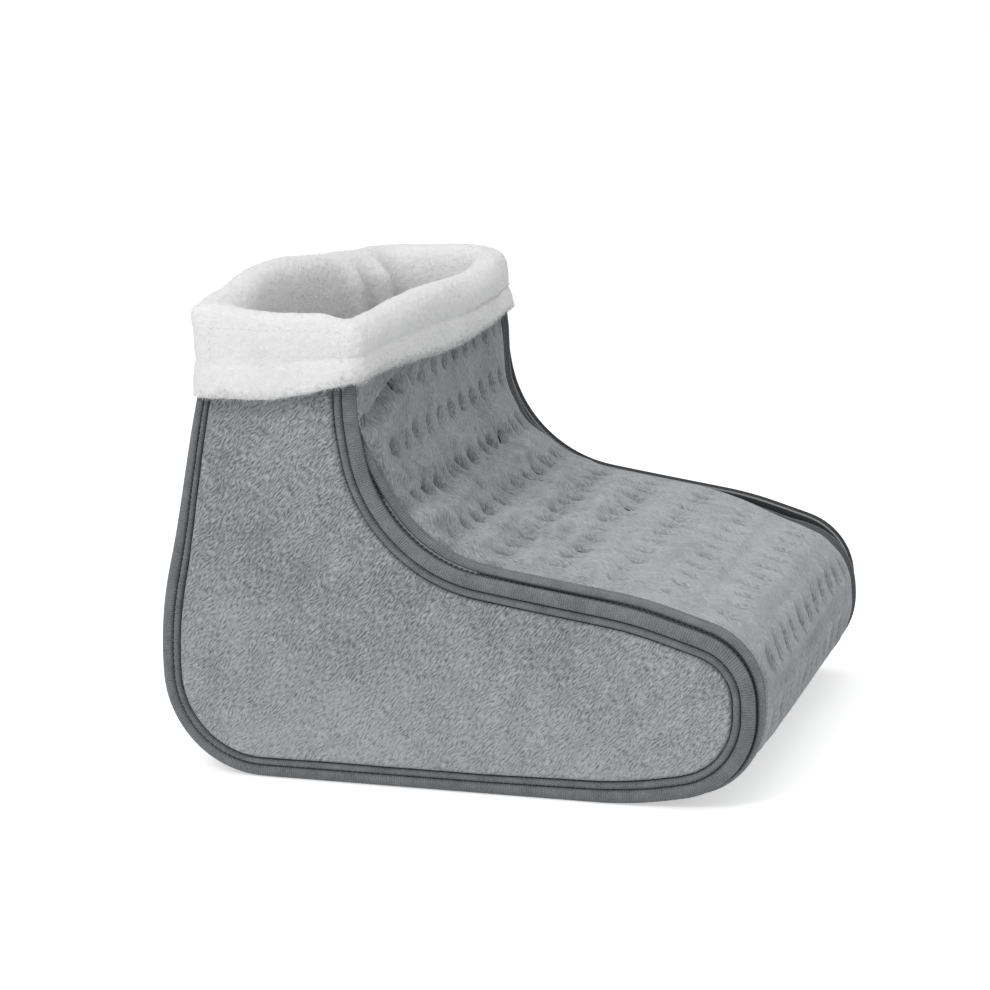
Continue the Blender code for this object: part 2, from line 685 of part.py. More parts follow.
def make_sole(toe_end, heel_end, materials):
    """The sole: non-slip cloth flat on the floor, foam, and the carrier cloth over the wire."""
    inner = STRIP_CLEAR_HALF - SOLE_EDGE_SLOPE
    cloth_top = SOLE_CLOTH_THICKNESS
    foam_bottom = cloth_top + SEWN_GAP
    edge_top = STRIP_EDGE_TOP + SOLE_CLOTH_THICKNESS
    cloth = [
        (-STRIP_HALF_WIDTH, STRIP_EDGE_TOP),
        (-STRIP_CLEAR_HALF, STRIP_EDGE_TOP),
        (-inner, 0),
        (inner, 0),
        (STRIP_CLEAR_HALF, STRIP_EDGE_TOP),
        (STRIP_HALF_WIDTH, STRIP_EDGE_TOP),
        (STRIP_HALF_WIDTH, edge_top),
        (STRIP_CLEAR_HALF - SEWN_GAP, edge_top),
        (inner - SEWN_GAP, cloth_top),
        (-inner + SEWN_GAP, cloth_top),
        (-STRIP_CLEAR_HALF + SEWN_GAP, edge_top),
        (-STRIP_HALF_WIDTH, edge_top),
    ]
    foam_edge = STRIP_CLEAR_HALF - SOLE_EDGE_SLOPE * FOAM_EDGE_SHARE
    foam_low_edge = inner - SOLE_EDGE_SLOPE * FOAM_LOW_EDGE_SHARE
    foam = [
        (-STRIP_HALF_WIDTH, edge_top + SEWN_GAP),
        (-foam_edge, edge_top + SEWN_GAP),
        (-foam_low_edge, foam_bottom),
        (foam_low_edge, foam_bottom),
        (foam_edge, edge_top + SEWN_GAP),
        (STRIP_HALF_WIDTH, edge_top + SEWN_GAP),
        (STRIP_HALF_WIDTH, STRIP_FACE_END),
        (-STRIP_HALF_WIDTH, STRIP_FACE_END),
    ]
    backing = [
        (-STRIP_HALF_WIDTH, STRIP_BACKING_TOP),
        (STRIP_HALF_WIDTH, STRIP_BACKING_TOP),
        (STRIP_HALF_WIDTH, STRIP_BACKING_END),
        (-STRIP_HALF_WIDTH, STRIP_BACKING_END),
    ]
    layers = (("sole_cloth", cloth, "grip"), ("sole_foam", foam, "foam"), ("sole_backing", backing, "cloth"))
    for name, section, finish_name in layers:
        rings = [[Vector((x, y, z)) for y, z in section] for x in (toe_end, heel_end)]
        loft(name, rings, materials[finish_name])


# Heating wire, safety parts and leads

def turn_points(rows, here, there, edge):
    """Points of a half turn of wire from one lane to the next, none of its chords crossing a fold."""
    middle = (here + there) / 2
    reach = abs(there - here) / 2
    folds = [row.along for row in rows if min(here, there) < row.along < max(here, there)]
    near = min([abs(here - fold) for fold in folds] + [reach / 2]) / 2
    way = math.copysign(1, there - here)
    places = sorted({here + way * near, there - way * near, *folds, middle}, reverse=there < here)
    points = []
    for place in places:
        share = (place - middle) / reach
        bulge = WIRE_TURN_BULGE * math.sqrt(max(0, 1 - share * share))
        y = edge + math.copysign(bulge, edge)
        points.append(station_at(rows, place).point(WIRE_DEPTH, y))
    return points


def serpentine(rows, lanes, first_side):
    """The wire's points: lanes straight across the strip, joined by half turns at its edges."""
    edge = STRIP_HALF_WIDTH - WIRE_EDGE_MARGIN
    side = first_side
    points = []
    for i, lane in enumerate(lanes):
        station = station_at(rows, lane)
        points.append(station.point(WIRE_DEPTH, side * edge))
        points.append(station.point(WIRE_DEPTH, -side * edge))
        side = -side
        if i + 1 < len(lanes):
            points += turn_points(rows, lane, lanes[i + 1], side * edge)
    return points, side


def wire_point(rows, along, y):
    """A point in the middle of the wire layer."""
    return station_at(rows, along).point(WIRE_DEPTH, y)


def flat_part(name, rows, start, end, low_y, high_y, material):
    """A flat part as thick as the heating wire, in the wire layer where the sole is flat."""
    first = station_at(rows, start)
    last = station_at(rows, end)
    low = (last.x, low_y, WIRE_DEPTH - WIRE_DIAMETER / 2)
    high = (first.x, high_y, WIRE_DEPTH + WIRE_DIAMETER / 2)
    return block(name, low, high, material)


def make_upper_wire(upper_rows, toe_seam, tack_rows, materials):
    """The wire of the upper, from the joint at the toe up the shaft, with a lane between tack rows."""
    edge = STRIP_HALF_WIDTH - WIRE_EDGE_MARGIN
    lanes = [(a + b) / 2 for a, b in zip(tack_rows, tack_rows[1:])][::-1]
    run_start = toe_seam - WIRE_JOINT_LENGTH / 2 - SEWN_GAP
    folds = [row.along for row in upper_rows if lanes[0] < row.along < run_start]
    points = [wire_point(upper_rows, along, edge) for along in [run_start] + folds[::-1]]
    winding, end_side = serpentine(upper_rows, lanes, 1)
    cord("upper_heating_wire", points + winding, WIRE_DIAMETER, materials["wire"])
    cap_start = edge + SEWN_GAP
    cap = [wire_point(upper_rows, lanes[-1], end_side * y) for y in (cap_start, cap_start + WIRE_END_LENGTH)]
    cord("wire_end_cap", cap, WIRE_DIAMETER, materials["sleeve"])


def make_sole_wire(sole_rows, toe_seam, heel_seam, materials):
    """The wire of the sole, from the joint at the toe to the sleeve where the leads begin."""
    edge = STRIP_HALF_WIDTH - WIRE_EDGE_MARGIN
    first_lane = toe_seam + SOLE_LANE_MARGIN
    last_lane = heel_seam - LEAD_END_SETBACK
    pairs = max(1, round(((last_lane - first_lane) / SOLE_LANE_PITCH + 1) / 2))
    pitch = (last_lane - first_lane) / (2 * pairs - 1)
    lanes = [first_lane + i * pitch for i in range(2 * pairs)]
    joint_end = toe_seam + WIRE_JOINT_LENGTH / 2
    winding, _ = serpentine(sole_rows, lanes, 1)
    winding[-1] = wire_point(sole_rows, last_lane, -SLEEVE_WIDTH / 2 - SEWN_GAP)
    points = [wire_point(sole_rows, joint_end + SEWN_GAP, edge)] + winding
    cord("sole_heating_wire", points, WIRE_DIAMETER, materials["wire"])
    joint_back = wire_point(sole_rows, joint_end, edge)
    joint_front = joint_back + Vector((WIRE_JOINT_LENGTH, 0, 0))
    cord("wire_joint", [joint_front, joint_back], WIRE_DIAMETER, materials["sleeve"])
    return last_lane


def make_leads(sole_rows, heel_rows, last_lane, materials):
    """The sleeve at the wire's end, the cut-out and the sensor, and the leads up the heel to the inlet."""
    sleeve_end = last_lane + SLEEVE_LENGTH / 2
    half_sleeve = SLEEVE_WIDTH / 2
    flat_part("lead_sleeve", sole_rows, last_lane - SLEEVE_LENGTH / 2, sleeve_end, -half_sleeve, half_sleeve,
              materials["sleeve"])
    seat = sleeve_end + SEWN_GAP
    cutout_end = seat + CUTOUT_LENGTH
    sensor_end = seat + SENSOR_LENGTH
    flat_part("thermal_cutout", sole_rows, seat, cutout_end, LEAD_PITCH - CUTOUT_WIDTH / 2,
              LEAD_PITCH + CUTOUT_WIDTH / 2, materials["plastic"])
    flat_part("temperature_sensor", sole_rows, seat, sensor_end, -LEAD_PITCH - SENSOR_WIDTH / 2,
              -LEAD_PITCH + SENSOR_WIDTH / 2, materials["sleeve"])
    top = INLET_HEIGHT - INLET_TALLNESS / 2 - SEWN_GAP
    climb = [row for row in heel_rows if row.point(WIRE_DEPTH, 0).z < top - LEAD_DIAMETER]
    leads = (
        ("lead_live", LEAD_PITCH, cutout_end + SEWN_GAP, "brown"),
        ("lead_neutral", 0, seat, "blue"),
        ("lead_sense", -LEAD_PITCH, sensor_end + SEWN_GAP, "sleeve"),
    )
    for name, y, start, colour in leads:
        points = [wire_point(sole_rows, start, y)]
        points += [row.point(WIRE_DEPTH, y) for row in climb if row.along > start + LEAD_DIAMETER]
        end = height_on(heel_rows, WIRE_DEPTH, top)
        points.append(Vector((end.x, y, top)))
        cord(name, points, LEAD_DIAMETER, materials[colour])


def height_on(rows, depth, height):
    """The point at this height on a layer that climbs the heel."""
    points = [row.point(depth, 0) for row in rows]
    for low, high in zip(points, points[1:]):
        if low.z <= height <= high.z:
            return low.lerp(high, (height - low.z) / (high.z - low.z))
    return points[-1]


# Inlet

def make_inlet(materials):
    """The socket on the heel: a housing open at the back, three flat pins and a sewn flange."""
    face_x = HEEL_X + STRIP_SET_IN - INLET_PROUD
    back_x = face_x + INLET_DEPTH
    half_width = INLET_WIDTH / 2
    low_z = INLET_HEIGHT - INLET_TALLNESS / 2
    high_z = INLET_HEIGHT + INLET_TALLNESS / 2
    housing = block("inlet_housing", (face_x, -half_width, low_z), (back_x, half_width, high_z),
                    materials["plastic"], INLET_CORNER)
    floor_x = back_x - INLET_BASE
    cut(housing, "inlet_cavity",
        (face_x - CUT_OVERRUN, -half_width + INLET_WALL, low_z + INLET_WALL),
        (floor_x, half_width - INLET_WALL, high_z - INLET_WALL))
    for i in range(3):
        y = (i - 1) * PIN_PITCH
        block(f"inlet_pin_{i + 1}",
              (floor_x - SEWN_GAP - PIN_LENGTH, y - PIN_WIDTH / 2, INLET_HEIGHT - PIN_THICKNESS / 2),
              (floor_x - SEWN_GAP, y + PIN_WIDTH / 2, INLET_HEIGHT + PIN_THICKNESS / 2),
              materials["brass"])
    flange_back = HEEL_X + STRIP_SET_IN - SEWN_GAP
    border = FLANGE_BORDER + SEWN_GAP
    flange = block("inlet_flange",
                   (flange_back - FLANGE_THICKNESS, -half_width - border, low_z - border),
                   (flange_back, half_width + border, high_z + border),
                   materials["plastic"])
    cut(flange, "inlet_flange_hole",
        (face_x - CUT_OVERRUN, -half_width - SEWN_GAP, low_z - SEWN_GAP),
        (flange_back + CUT_OVERRUN, half_width + SEWN_GAP, high_z + SEWN_GAP))


# Rim, cuff and liner

def back_x(z):
    """Where the shaft's back stands at this height."""
    return RIM_BACK_X - (SHAFT_HEIGHT - z) * BACK_LEAN


def mouth_ring(z, end, side, radius=0, leaning=True):
    """A level ring round the shaft, grown by these distances at its ends and sides, with round corners."""
    stretch = BACK_STRETCH * end
    low_x = (back_x(z) if leaning else RIM_BACK_X) - stretch
    high_x = SHAFT_FRONT_X + end
    half = HALF_WIDTH + side
    steps = CORNER_STEPS if radius else 0
    corners = ((high_x, half, 0), (low_x, half, 1), (low_x, -half, 2), (high_x, -half, 3))
    ring = []
    for x, y, quarter in corners:
        centre_x = x - math.copysign(radius, x - (low_x + high_x) / 2)
        centre_y = y - math.copysign(radius, y)
        for step in range(steps + 1):
            angle = math.pi / 2 * (quarter + step / max(1, steps))
            ring.append(Vector((centre_x + radius * math.cos(angle), centre_y + radius * math.sin(angle), z)))
    return ring


def make_rim_tape(material):
    """The tape over the rim, which closes all layers under the cuff."""
    bottom = SHAFT_HEIGHT - RIM_TAPE_DROP
    web = SHAFT_HEIGHT + SEWN_GAP
    inner_end = TAPE_THICKNESS - RIM_WALL
    inner_side = TAPE_THICKNESS - RIM_SIDE_WALL
    rings = [
        mouth_ring(bottom, OUTER_TAPE, OUTER_TAPE),
        mouth_ring(RIM_TAPE_TOP, OUTER_TAPE, OUTER_TAPE),
        mouth_ring(RIM_TAPE_TOP, -RIM_WALL, -RIM_SIDE_WALL),
        mouth_ring(bottom, -RIM_WALL, -RIM_SIDE_WALL),
        mouth_ring(bottom, inner_end, inner_side),
        mouth_ring(web, inner_end, inner_side),
        mouth_ring(web, SEWN_GAP, SEWN_GAP),
        mouth_ring(bottom, SEWN_GAP, SEWN_GAP),
    ]
    loft("rim_binding", rings, material, ring_closed_on_itself=True)


def make_cuff(material):
    """The fleece turned over the rim, its rolled hem, and the collar inside the shaft."""
    outer_end = CUFF_END_INNER + CUFF_THICKNESS
    outer_side = CUFF_SIDE_INNER + CUFF_THICKNESS
    inner_end = -LINER_DEPTH - FLEECE_THICKNESS
    inner_side = -LINER_SIDE_DEPTH - FLEECE_THICKNESS
    band_bottom = HEM_TOP + SEWN_GAP
    leg_bottom = COLLAR_TOP + SEWN_GAP
    shoulder = CUFF_CREST / 2
    rounding = CUFF_CREST * CREST_ROUNDING_SHARE
    corner = CUFF_CORNER
    inner_corner = COLLAR_CORNER - FLEECE_THICKNESS
    tight = SEWN_GAP
    band = [
        mouth_ring(band_bottom, outer_end, outer_side, corner),
        mouth_ring(CREST_TOP - shoulder, outer_end, outer_side, corner),
        mouth_ring(CREST_TOP - rounding, outer_end - shoulder / 2, outer_side - shoulder / 2, corner),
        mouth_ring(CREST_TOP, 0, 0, corner, False),
        mouth_ring(CREST_TOP, -LINER_DEPTH, -LINER_SIDE_DEPTH, COLLAR_CORNER, False),
        mouth_ring(CREST_TOP - shoulder, inner_end, inner_side, inner_corner, False),
        mouth_ring(leg_bottom, inner_end, inner_side, inner_corner, False),
        mouth_ring(leg_bottom, -LINER_DEPTH, -LINER_SIDE_DEPTH, COLLAR_CORNER, False),
        mouth_ring(CREST_BOTTOM, -LINER_DEPTH, -LINER_SIDE_DEPTH, COLLAR_CORNER, False),
        mouth_ring(CREST_BOTTOM, CUFF_END_INNER, CUFF_SIDE_INNER, tight),
        mouth_ring(band_bottom, CUFF_END_INNER, CUFF_SIDE_INNER, tight),
    ]
    loft("cuff_band", band, material, ring_closed_on_itself=True)
    hem_end = outer_end + HEM_EXTRA
    hem_side = outer_side + HEM_EXTRA
    roll = HEM_HEIGHT * HEM_ROLL_SHARE
    hem = [
        mouth_ring(HEM_TOP, outer_end, outer_side, corner),
        mouth_ring(HEM_TOP, CUFF_END_INNER, CUFF_SIDE_INNER, tight),
        mouth_ring(CUFF_BOTTOM, CUFF_END_INNER, CUFF_SIDE_INNER, tight),
        mouth_ring(CUFF_BOTTOM, outer_end - HEM_EXTRA, outer_side - HEM_EXTRA, corner),
        mouth_ring(CUFF_BOTTOM + roll, hem_end, hem_side, corner),
        mouth_ring(HEM_TOP - roll, hem_end, hem_side, corner),
    ]
    loft("cuff_hem", hem, material, ring_closed_on_itself=True)
    collar = [
        mouth_ring(COLLAR_BOTTOM, -LINER_DEPTH, -LINER_SIDE_DEPTH, COLLAR_CORNER, False),
        mouth_ring(COLLAR_TOP, -LINER_DEPTH, -LINER_SIDE_DEPTH, COLLAR_CORNER, False),
        mouth_ring(COLLAR_TOP, inner_end, inner_side, inner_corner, False),
        mouth_ring(COLLAR_BOTTOM, inner_end, inner_side, inner_corner, False),
    ]
    loft("liner_collar", collar, material, ring_closed_on_itself=True)


def drawn_in(corners, depth):
    """The corners of an outline drawn in by a depth, with fillets to match."""
    points = [Vector((x, z)) for x, z, _ in corners]
    directions = [(b - a).normalized() for a, b in zip(points, points[1:])]
    inner = []
    for i in range(1, len(points) - 1):
        before = directions[i - 1]
        after = directions[i]
        turn = turn_of(before, after)
        inward = Vector((before.y, -before.x)) + Vector((after.y, -after.x))
        point = points[i] + inward * depth / (1 + before.dot(after))
        inner.append((point.x, point.y, corners[i][2] + math.copysign(depth, turn)))
    return inner


def liner_corners():
    """The liner's side outline: the boot's, drawn in, but hanging straight from the collar's back."""
    inner = drawn_in(boot_corners(), LINER_DEPTH)[1:-1]
    front = (SHAFT_FRONT_X - LINER_DEPTH, LINER_TOP, 0)
    heel = (HEEL_X + LINER_DEPTH, LINER_HEEL_HEIGHT, LINER_SWELL_RADIUS)
    back = (RIM_BACK_X + LINER_DEPTH * BACK_STRETCH, LINER_TOP, 0)
    return [front] + inner + [heel, back]


def make_liner(material):
    """The liner's foot: two sides, the upper, the sole and the heel, which give way when it is pulled out."""
    stations, fillets = outline_stations(liner_corners(), SIDE_ARC_STEP)
    stations = with_back_rows(stations)
    for word, side in (("left", 1), ("right", -1)):
        rings = []
        for y in (LINER_HALF_WIDTH, LINER_HALF_WIDTH - FLEECE_THICKNESS):
            rings.append([station.point(0, side * y) for station in stations])
        loft(f"liner_side_{word}", rings, material)
    toe_seam = fillets[TOE_SPRING_CORNER - 1][1] + SEAM_MARGIN
    heel_seam = fillets[HEEL_CORNER - 1][0] - SEAM_MARGIN
    pieces = (
        ("liner_upper", stations[0].along, toe_seam),
        ("liner_sole", toe_seam + SEWN_GAP, heel_seam - SEWN_GAP),
        ("liner_heel", heel_seam, stations[-1].along),
    )
    for name, start, end in pieces:
        inner = [station for station in stations if start < station.along < end]
        ends = [station_at(stations, start), station_at(stations, end)]
        rings = []
        for station in [ends[0]] + inner + [ends[1]]:
            rings.append([
                station.point(0, -LINER_STRIP_HALF),
                station.point(0, LINER_STRIP_HALF),
                station.point(FLEECE_THICKNESS, LINER_STRIP_HALF),
                station.point(FLEECE_THICKNESS, -LINER_STRIP_HALF),
            ])
        loft(name, rings, material)


def make_patches(materials):
    """Hook-and-loop patches that hold the cuff: loops on each side panel, hooks inside the cuff."""
    top = SHAFT_HEIGHT - PATCH_DROP
    middle = (SHAFT_FRONT_X + back_x(top - PATCH_HEIGHT / 2)) / 2
    low_x = middle - PATCH_LENGTH / 2
    high_x = middle + PATCH_LENGTH / 2
    loop_y = HALF_WIDTH - PANEL_FACE + SEWN_GAP
    hook_y = loop_y + PATCH_THICKNESS + SEWN_GAP
    for word, side in (("left", 1), ("right", -1)):
        for name, start in (("loop", loop_y), ("hook", hook_y)):
            near, far = sorted((side * start, side * (start + PATCH_THICKNESS)))
            block(f"{name}_patch_{word}", (low_x, near, top - PATCH_HEIGHT), (high_x, far, top),
                  materials["grip" if name == "hook" else "tape"])


# The whole boot

def make_materials():
    """One material for each kind of stuff."""
    return {
        "flannel": finish("flannel", FLANNEL_GREY, 0.9),
        "tape": finish("ribbed_tape", TAPE_GREY, 0.85),
        "fleece": finish("fleece", FLEECE_WHITE, 0.95),
        "foam": finish("foam", FOAM_WHITE, 0.9),
        "cloth": finish("inner_cloth", CLOTH_GREY, 0.9),
        "grip": finish("grip_cloth", GRIP_GREY, 0.8),
        "wire": finish("heating_wire", WIRE_WHITE, 0.5),
        "sleeve": finish("sleeve", SLEEVE_GREY, 0.5),
        "plastic": finish("black_plastic", PLASTIC_BLACK, 0.45),
        "brass": finish("brass", BRASS_YELLOW, 0.35, 1.0),
        "blue": finish("blue_lead", LEAD_BLUE, 0.5),
        "brown": finish("brown_lead", LEAD_BROWN, 0.5),
    }


def main():
    """Make every piece."""
    clear_scene()
    materials = make_materials()
    stations, fillets = outline_stations(boot_corners(), SIDE_ARC_STEP)
    fine, _ = outline_stations(boot_corners(), FINE_ARC_STEP)
    for word, side in (("left", 1), ("right", -1)):
        make_side_panel(side, word, stations, materials)
        make_tape(f"side_binding_{word}", side_tape_profile(), HALF_WIDTH, side, stations, materials["tape"])

    toe_seam = fillets[TOE_SPRING_CORNER][1] + SEAM_MARGIN
    heel_seam = fillets[HEEL_CORNER][0] - SEAM_MARGIN
    tack_room = toe_seam - FIRST_TACK_ROW - LAST_TACK_MARGIN
    tack_rows = [FIRST_TACK_ROW + i * TACK_ROW_PITCH for i in range(int(tack_room / TACK_ROW_PITCH) + 1)]
    upper_rows = strip_rows(fine, tack_rows, toe_seam)
    sole_rows = [station_at(fine, toe_seam + SEWN_GAP), station_at(fine, heel_seam - SEWN_GAP)]
    heel_rows = [station_at(fine, heel_seam)]
    heel_rows += [station for station in with_back_rows(stations) if station.along > heel_seam]
    make_quilted_upper(upper_rows, toe_seam, tack_rows, materials["flannel"])
    strip_layer("upper_backing", upper_rows, STRIP_BACKING_TOP, STRIP_BACKING_END, materials["cloth"])
    make_heel(heel_rows, materials)
    make_sole(sole_rows[0].x, sole_rows[-1].x, materials)
    for word, side in (("left", 1), ("right", -1)):
        make_tape(f"gusset_binding_{word}", gusset_tape_profile(), GUSSET_HALF_WIDTH, side,
                  upper_rows + heel_rows, materials["tape"])

    make_upper_wire(upper_rows, toe_seam, tack_rows, materials)
    last_lane = make_sole_wire(sole_rows, toe_seam, heel_seam, materials)
    make_leads(sole_rows, heel_rows, last_lane, materials)
    make_inlet(materials)
    make_rim_tape(materials["tape"])
    make_cuff(materials["fleece"])
    make_liner(materials["fleece"])
    make_patches(materials)

    for thing in bpy.data.objects:
        if thing.type == "MESH" and max(vert.co.z for vert in thing.data.vertices) > BOW_BOTTOM:
            settle(thing, thing.name in WIDE_PIECES)


main()
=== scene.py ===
# %% [markdown]
# # A heated boot for both feet
#
# The boot is sewn from flat cuts: two side panels, one long quilted strip that runs over the instep
# and the toe, a sole and a heel. Ribbed tape closes every edge, and a fleece liner is turned down
# over the rim. The solids of the boot come from its CAD model and set every size. This lesson dresses
# them: each cut is made again as cloth, a little soft and uneven, exactly where its solid stands.

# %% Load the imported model
import json
import math

import bmesh
import bpy
import numpy as np
from mathutils import Matrix, Vector


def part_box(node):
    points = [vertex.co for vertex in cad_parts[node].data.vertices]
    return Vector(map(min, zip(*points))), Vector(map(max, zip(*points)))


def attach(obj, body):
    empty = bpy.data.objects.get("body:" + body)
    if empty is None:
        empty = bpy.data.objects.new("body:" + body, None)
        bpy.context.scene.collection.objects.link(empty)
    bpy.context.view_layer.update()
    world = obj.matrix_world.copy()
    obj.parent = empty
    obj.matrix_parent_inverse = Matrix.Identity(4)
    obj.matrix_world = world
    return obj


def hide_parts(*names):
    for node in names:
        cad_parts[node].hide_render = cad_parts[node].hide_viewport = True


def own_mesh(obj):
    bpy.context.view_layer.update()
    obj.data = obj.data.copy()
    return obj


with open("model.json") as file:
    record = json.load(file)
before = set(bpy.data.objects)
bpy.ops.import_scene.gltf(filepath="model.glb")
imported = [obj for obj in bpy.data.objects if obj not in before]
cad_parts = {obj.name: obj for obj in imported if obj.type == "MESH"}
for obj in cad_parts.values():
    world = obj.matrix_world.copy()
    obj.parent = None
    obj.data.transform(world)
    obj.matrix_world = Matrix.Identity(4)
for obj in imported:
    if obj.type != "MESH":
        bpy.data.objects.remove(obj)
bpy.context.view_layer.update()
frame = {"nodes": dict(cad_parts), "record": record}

# %% [markdown]
# ## The camera
#
# The camera was found by fitting a pinhole model to the outlines of both side panels. It stands well
# back with a long lens, a little above the boot, and is turned to the right by about 18 degrees.

# %% Place the camera
IMAGE_SIDE = 990
SENSOR_WIDTH = 36.0
FOCAL_PIXELS = 3060.78
CAMERA_AZIMUTH = math.radians(17.8099)
CAMERA_ELEVATION = math.radians(13.6369)
CAMERA_ROLL = math.radians(-1.5075)
CAMERA_DISTANCE = 1.6812
CAMERA_TARGET = Vector((-0.0145, 0.0, 0.1266))


def place_camera():
    """Aim the camera at the boot from the fitted place."""
    flat = math.cos(CAMERA_ELEVATION)
    back = Vector((
        math.sin(CAMERA_AZIMUTH) * flat,
        -math.cos(CAMERA_AZIMUTH) * flat,
        math.sin(CAMERA_ELEVATION),
    ))
    right = (-back).cross(Vector((0, 0, 1))).normalized()
    up = right.cross(-back)
    turned_right = right * math.cos(CAMERA_ROLL) + up * math.sin(CAMERA_ROLL)
    turned_up = up * math.cos(CAMERA_ROLL) - right * math.sin(CAMERA_ROLL)
    lens = bpy.data.cameras.new("camera")
    lens.sensor_width = SENSOR_WIDTH
    lens.lens = FOCAL_PIXELS / IMAGE_SIDE * SENSOR_WIDTH
    camera = bpy.data.objects.new("camera", lens)
    bpy.context.scene.collection.objects.link(camera)
    turn = Matrix((turned_right, turned_up, back)).transposed()
    camera.matrix_world = Matrix.Translation(CAMERA_TARGET + back * CAMERA_DISTANCE) @ turn.to_4x4()
    bpy.context.scene.camera = camera
    return camera


camera = place_camera()
print("lens in mm:", round(camera.data.lens, 1))

# %% [markdown]
# ## Shader maths as Python
#
# A cloth needs a dozen small sums on its textures. Written as nodes these are hard to read, so one
# small class stands for a socket and takes part in ordinary Python expressions. An expression on
# values adds Math nodes, and one on vectors or colours adds Vector Math nodes. Any other node comes
# from one method, which takes the node's type, its settings and what goes into its sockets.

# %% A socket that can be calculated with
VECTOR_KINDS = ("VECTOR", "RGBA")


class Wire:
    """An output socket of a material that can be used in Python sums."""

    def __init__(self, look, socket):
        self.look = look
        self.socket = socket

    def sum(self, operation, *terms):
        """A Math node on these terms, or a Vector Math node if one of them is a vector or colour."""
        vector = any(isinstance(term, Wire) and term.socket.type in VECTOR_KINDS for term in terms)
        if vector:
            kind = "ShaderNodeVectorMath"
            terms = [term if isinstance(term, (Wire, tuple)) else (term,) * 3 for term in terms]
        else:
            kind = "ShaderNodeMath"
        return self.look.node(kind, {"operation": operation}, dict(enumerate(terms)))

    def __add__(self, other):
        return self.sum("ADD", self, other)

    def __radd__(self, other):
        return self.sum("ADD", other, self)

    def __sub__(self, other):
        return self.sum("SUBTRACT", self, other)

    def __rsub__(self, other):
        return self.sum("SUBTRACT", other, self)

    def __mul__(self, other):
        return self.sum("MULTIPLY", self, other)

    def __rmul__(self, other):
        return self.sum("MULTIPLY", other, self)

    def __truediv__(self, other):
        return self.sum("DIVIDE", self, other)

    def __pow__(self, other):
        return self.sum("POWER", self, other)

    def wave(self, pitch):
        """A wave between 0 and 1 with one crest in each pitch."""
        turn = self * (2 * math.pi / pitch)
        return self.sum("SINE", turn) * 0.5 + 0.5

    def away_from(self, first, pitch):
        """How far a value is from the nearest of evenly spaced places."""
        wrapped = self.sum("WRAP", self - first, pitch / 2, -pitch / 2)
        return self.sum("ABSOLUTE", wrapped)

    def between(self, low, high):
        """0 up to the low value, 1 from the high one, and even in between."""
        settings = {"clamp": True}
        sockets = {"Value": self, "From Min": low, "From Max": high}
        return self.look.node("ShaderNodeMapRange", settings, sockets)


# %% A node tree, and a finish
SHEEN_ROUGHNESS = 0.5


class Nodes:
    """A node tree, and the one way in which nodes come into it."""

    def __init__(self, tree):
        self.tree = tree

    def node(self, kind, settings=None, sockets=None):
        """Add a node, set it, fill its sockets, and give its first live output."""
        made = self.tree.nodes.new(kind)
        for key, value in (settings or {}).items():
            setattr(made, key, value)
        for key, value in (sockets or {}).items():
            if isinstance(value, Wire):
                self.tree.links.new(value.socket, made.inputs[key])
            else:
                made.inputs[key].default_value = value
        return Wire(self, next(socket for socket in made.outputs if socket.enabled))

    def cloth(self):
        """The place on the flat cloth, in metres."""
        return self.node("ShaderNodeUVMap", {"uv_map": "metres"})

    def space(self):
        """The place on the piece, in metres."""
        coordinates = self.node("ShaderNodeTexCoord")
        return Wire(self, coordinates.socket.node.outputs["Object"])

    def part_of(self, place, axis):
        """One coordinate of a place."""
        parts = self.node("ShaderNodeSeparateXYZ", {}, {0: place})
        return Wire(self, parts.socket.node.outputs[axis])

    def join(self, along, across):
        """A place from its two coordinates on the cloth."""
        return self.node("ShaderNodeCombineXYZ", {}, {0: along, 1: across})

    def cloud(self, place, size, detail=2.0, rough=0.5):
        """Soft noise between 0 and 1 whose blots have this size, or these sizes along each axis."""
        sizes = size if isinstance(size, tuple) else (size, size, size)
        scaled = place * tuple(1 / length for length in sizes)
        sockets = {"Vector": scaled, "Scale": 1.0, "Detail": detail, "Roughness": rough}
        return self.node("ShaderNodeTexNoise", {}, sockets)

    def mixed(self, low, high, share):
        """A colour between two colours."""
        ends = [tuple(end) + (1,) if isinstance(end, tuple) else end for end in (low, high)]
        return self.node("ShaderNodeMix", {"data_type": "RGBA"}, {0: share, 6: ends[0], 7: ends[1]})


class Look(Nodes):
    """A finish: a material whose shader is fed from its node tree."""

    def __init__(self, name, roughness, metallic=0.0, sheen=0.0):
        self.material = bpy.data.materials.new(name)
        self.material.use_nodes = True
        super().__init__(self.material.node_tree)
        self.shader = self.tree.nodes["Principled BSDF"]
        self.shader.inputs["Roughness"].default_value = roughness
        self.shader.inputs["Metallic"].default_value = metallic
        self.shader.inputs["Sheen Weight"].default_value = sheen
        self.shader.inputs["Sheen Roughness"].default_value = SHEEN_ROUGHNESS

    def feed(self, socket, wire):
        """Link a wire to one of the shader's own sockets."""
        self.tree.links.new(wire.socket, self.shader.inputs[socket])

    def bump(self, height):
        """Make a height in metres show as relief."""
        relief = self.node("ShaderNodeBump", {}, {"Strength": 1.0, "Distance": 1.0, "Height": height})
        self.feed("Normal", relief)


print("shader tools ready")
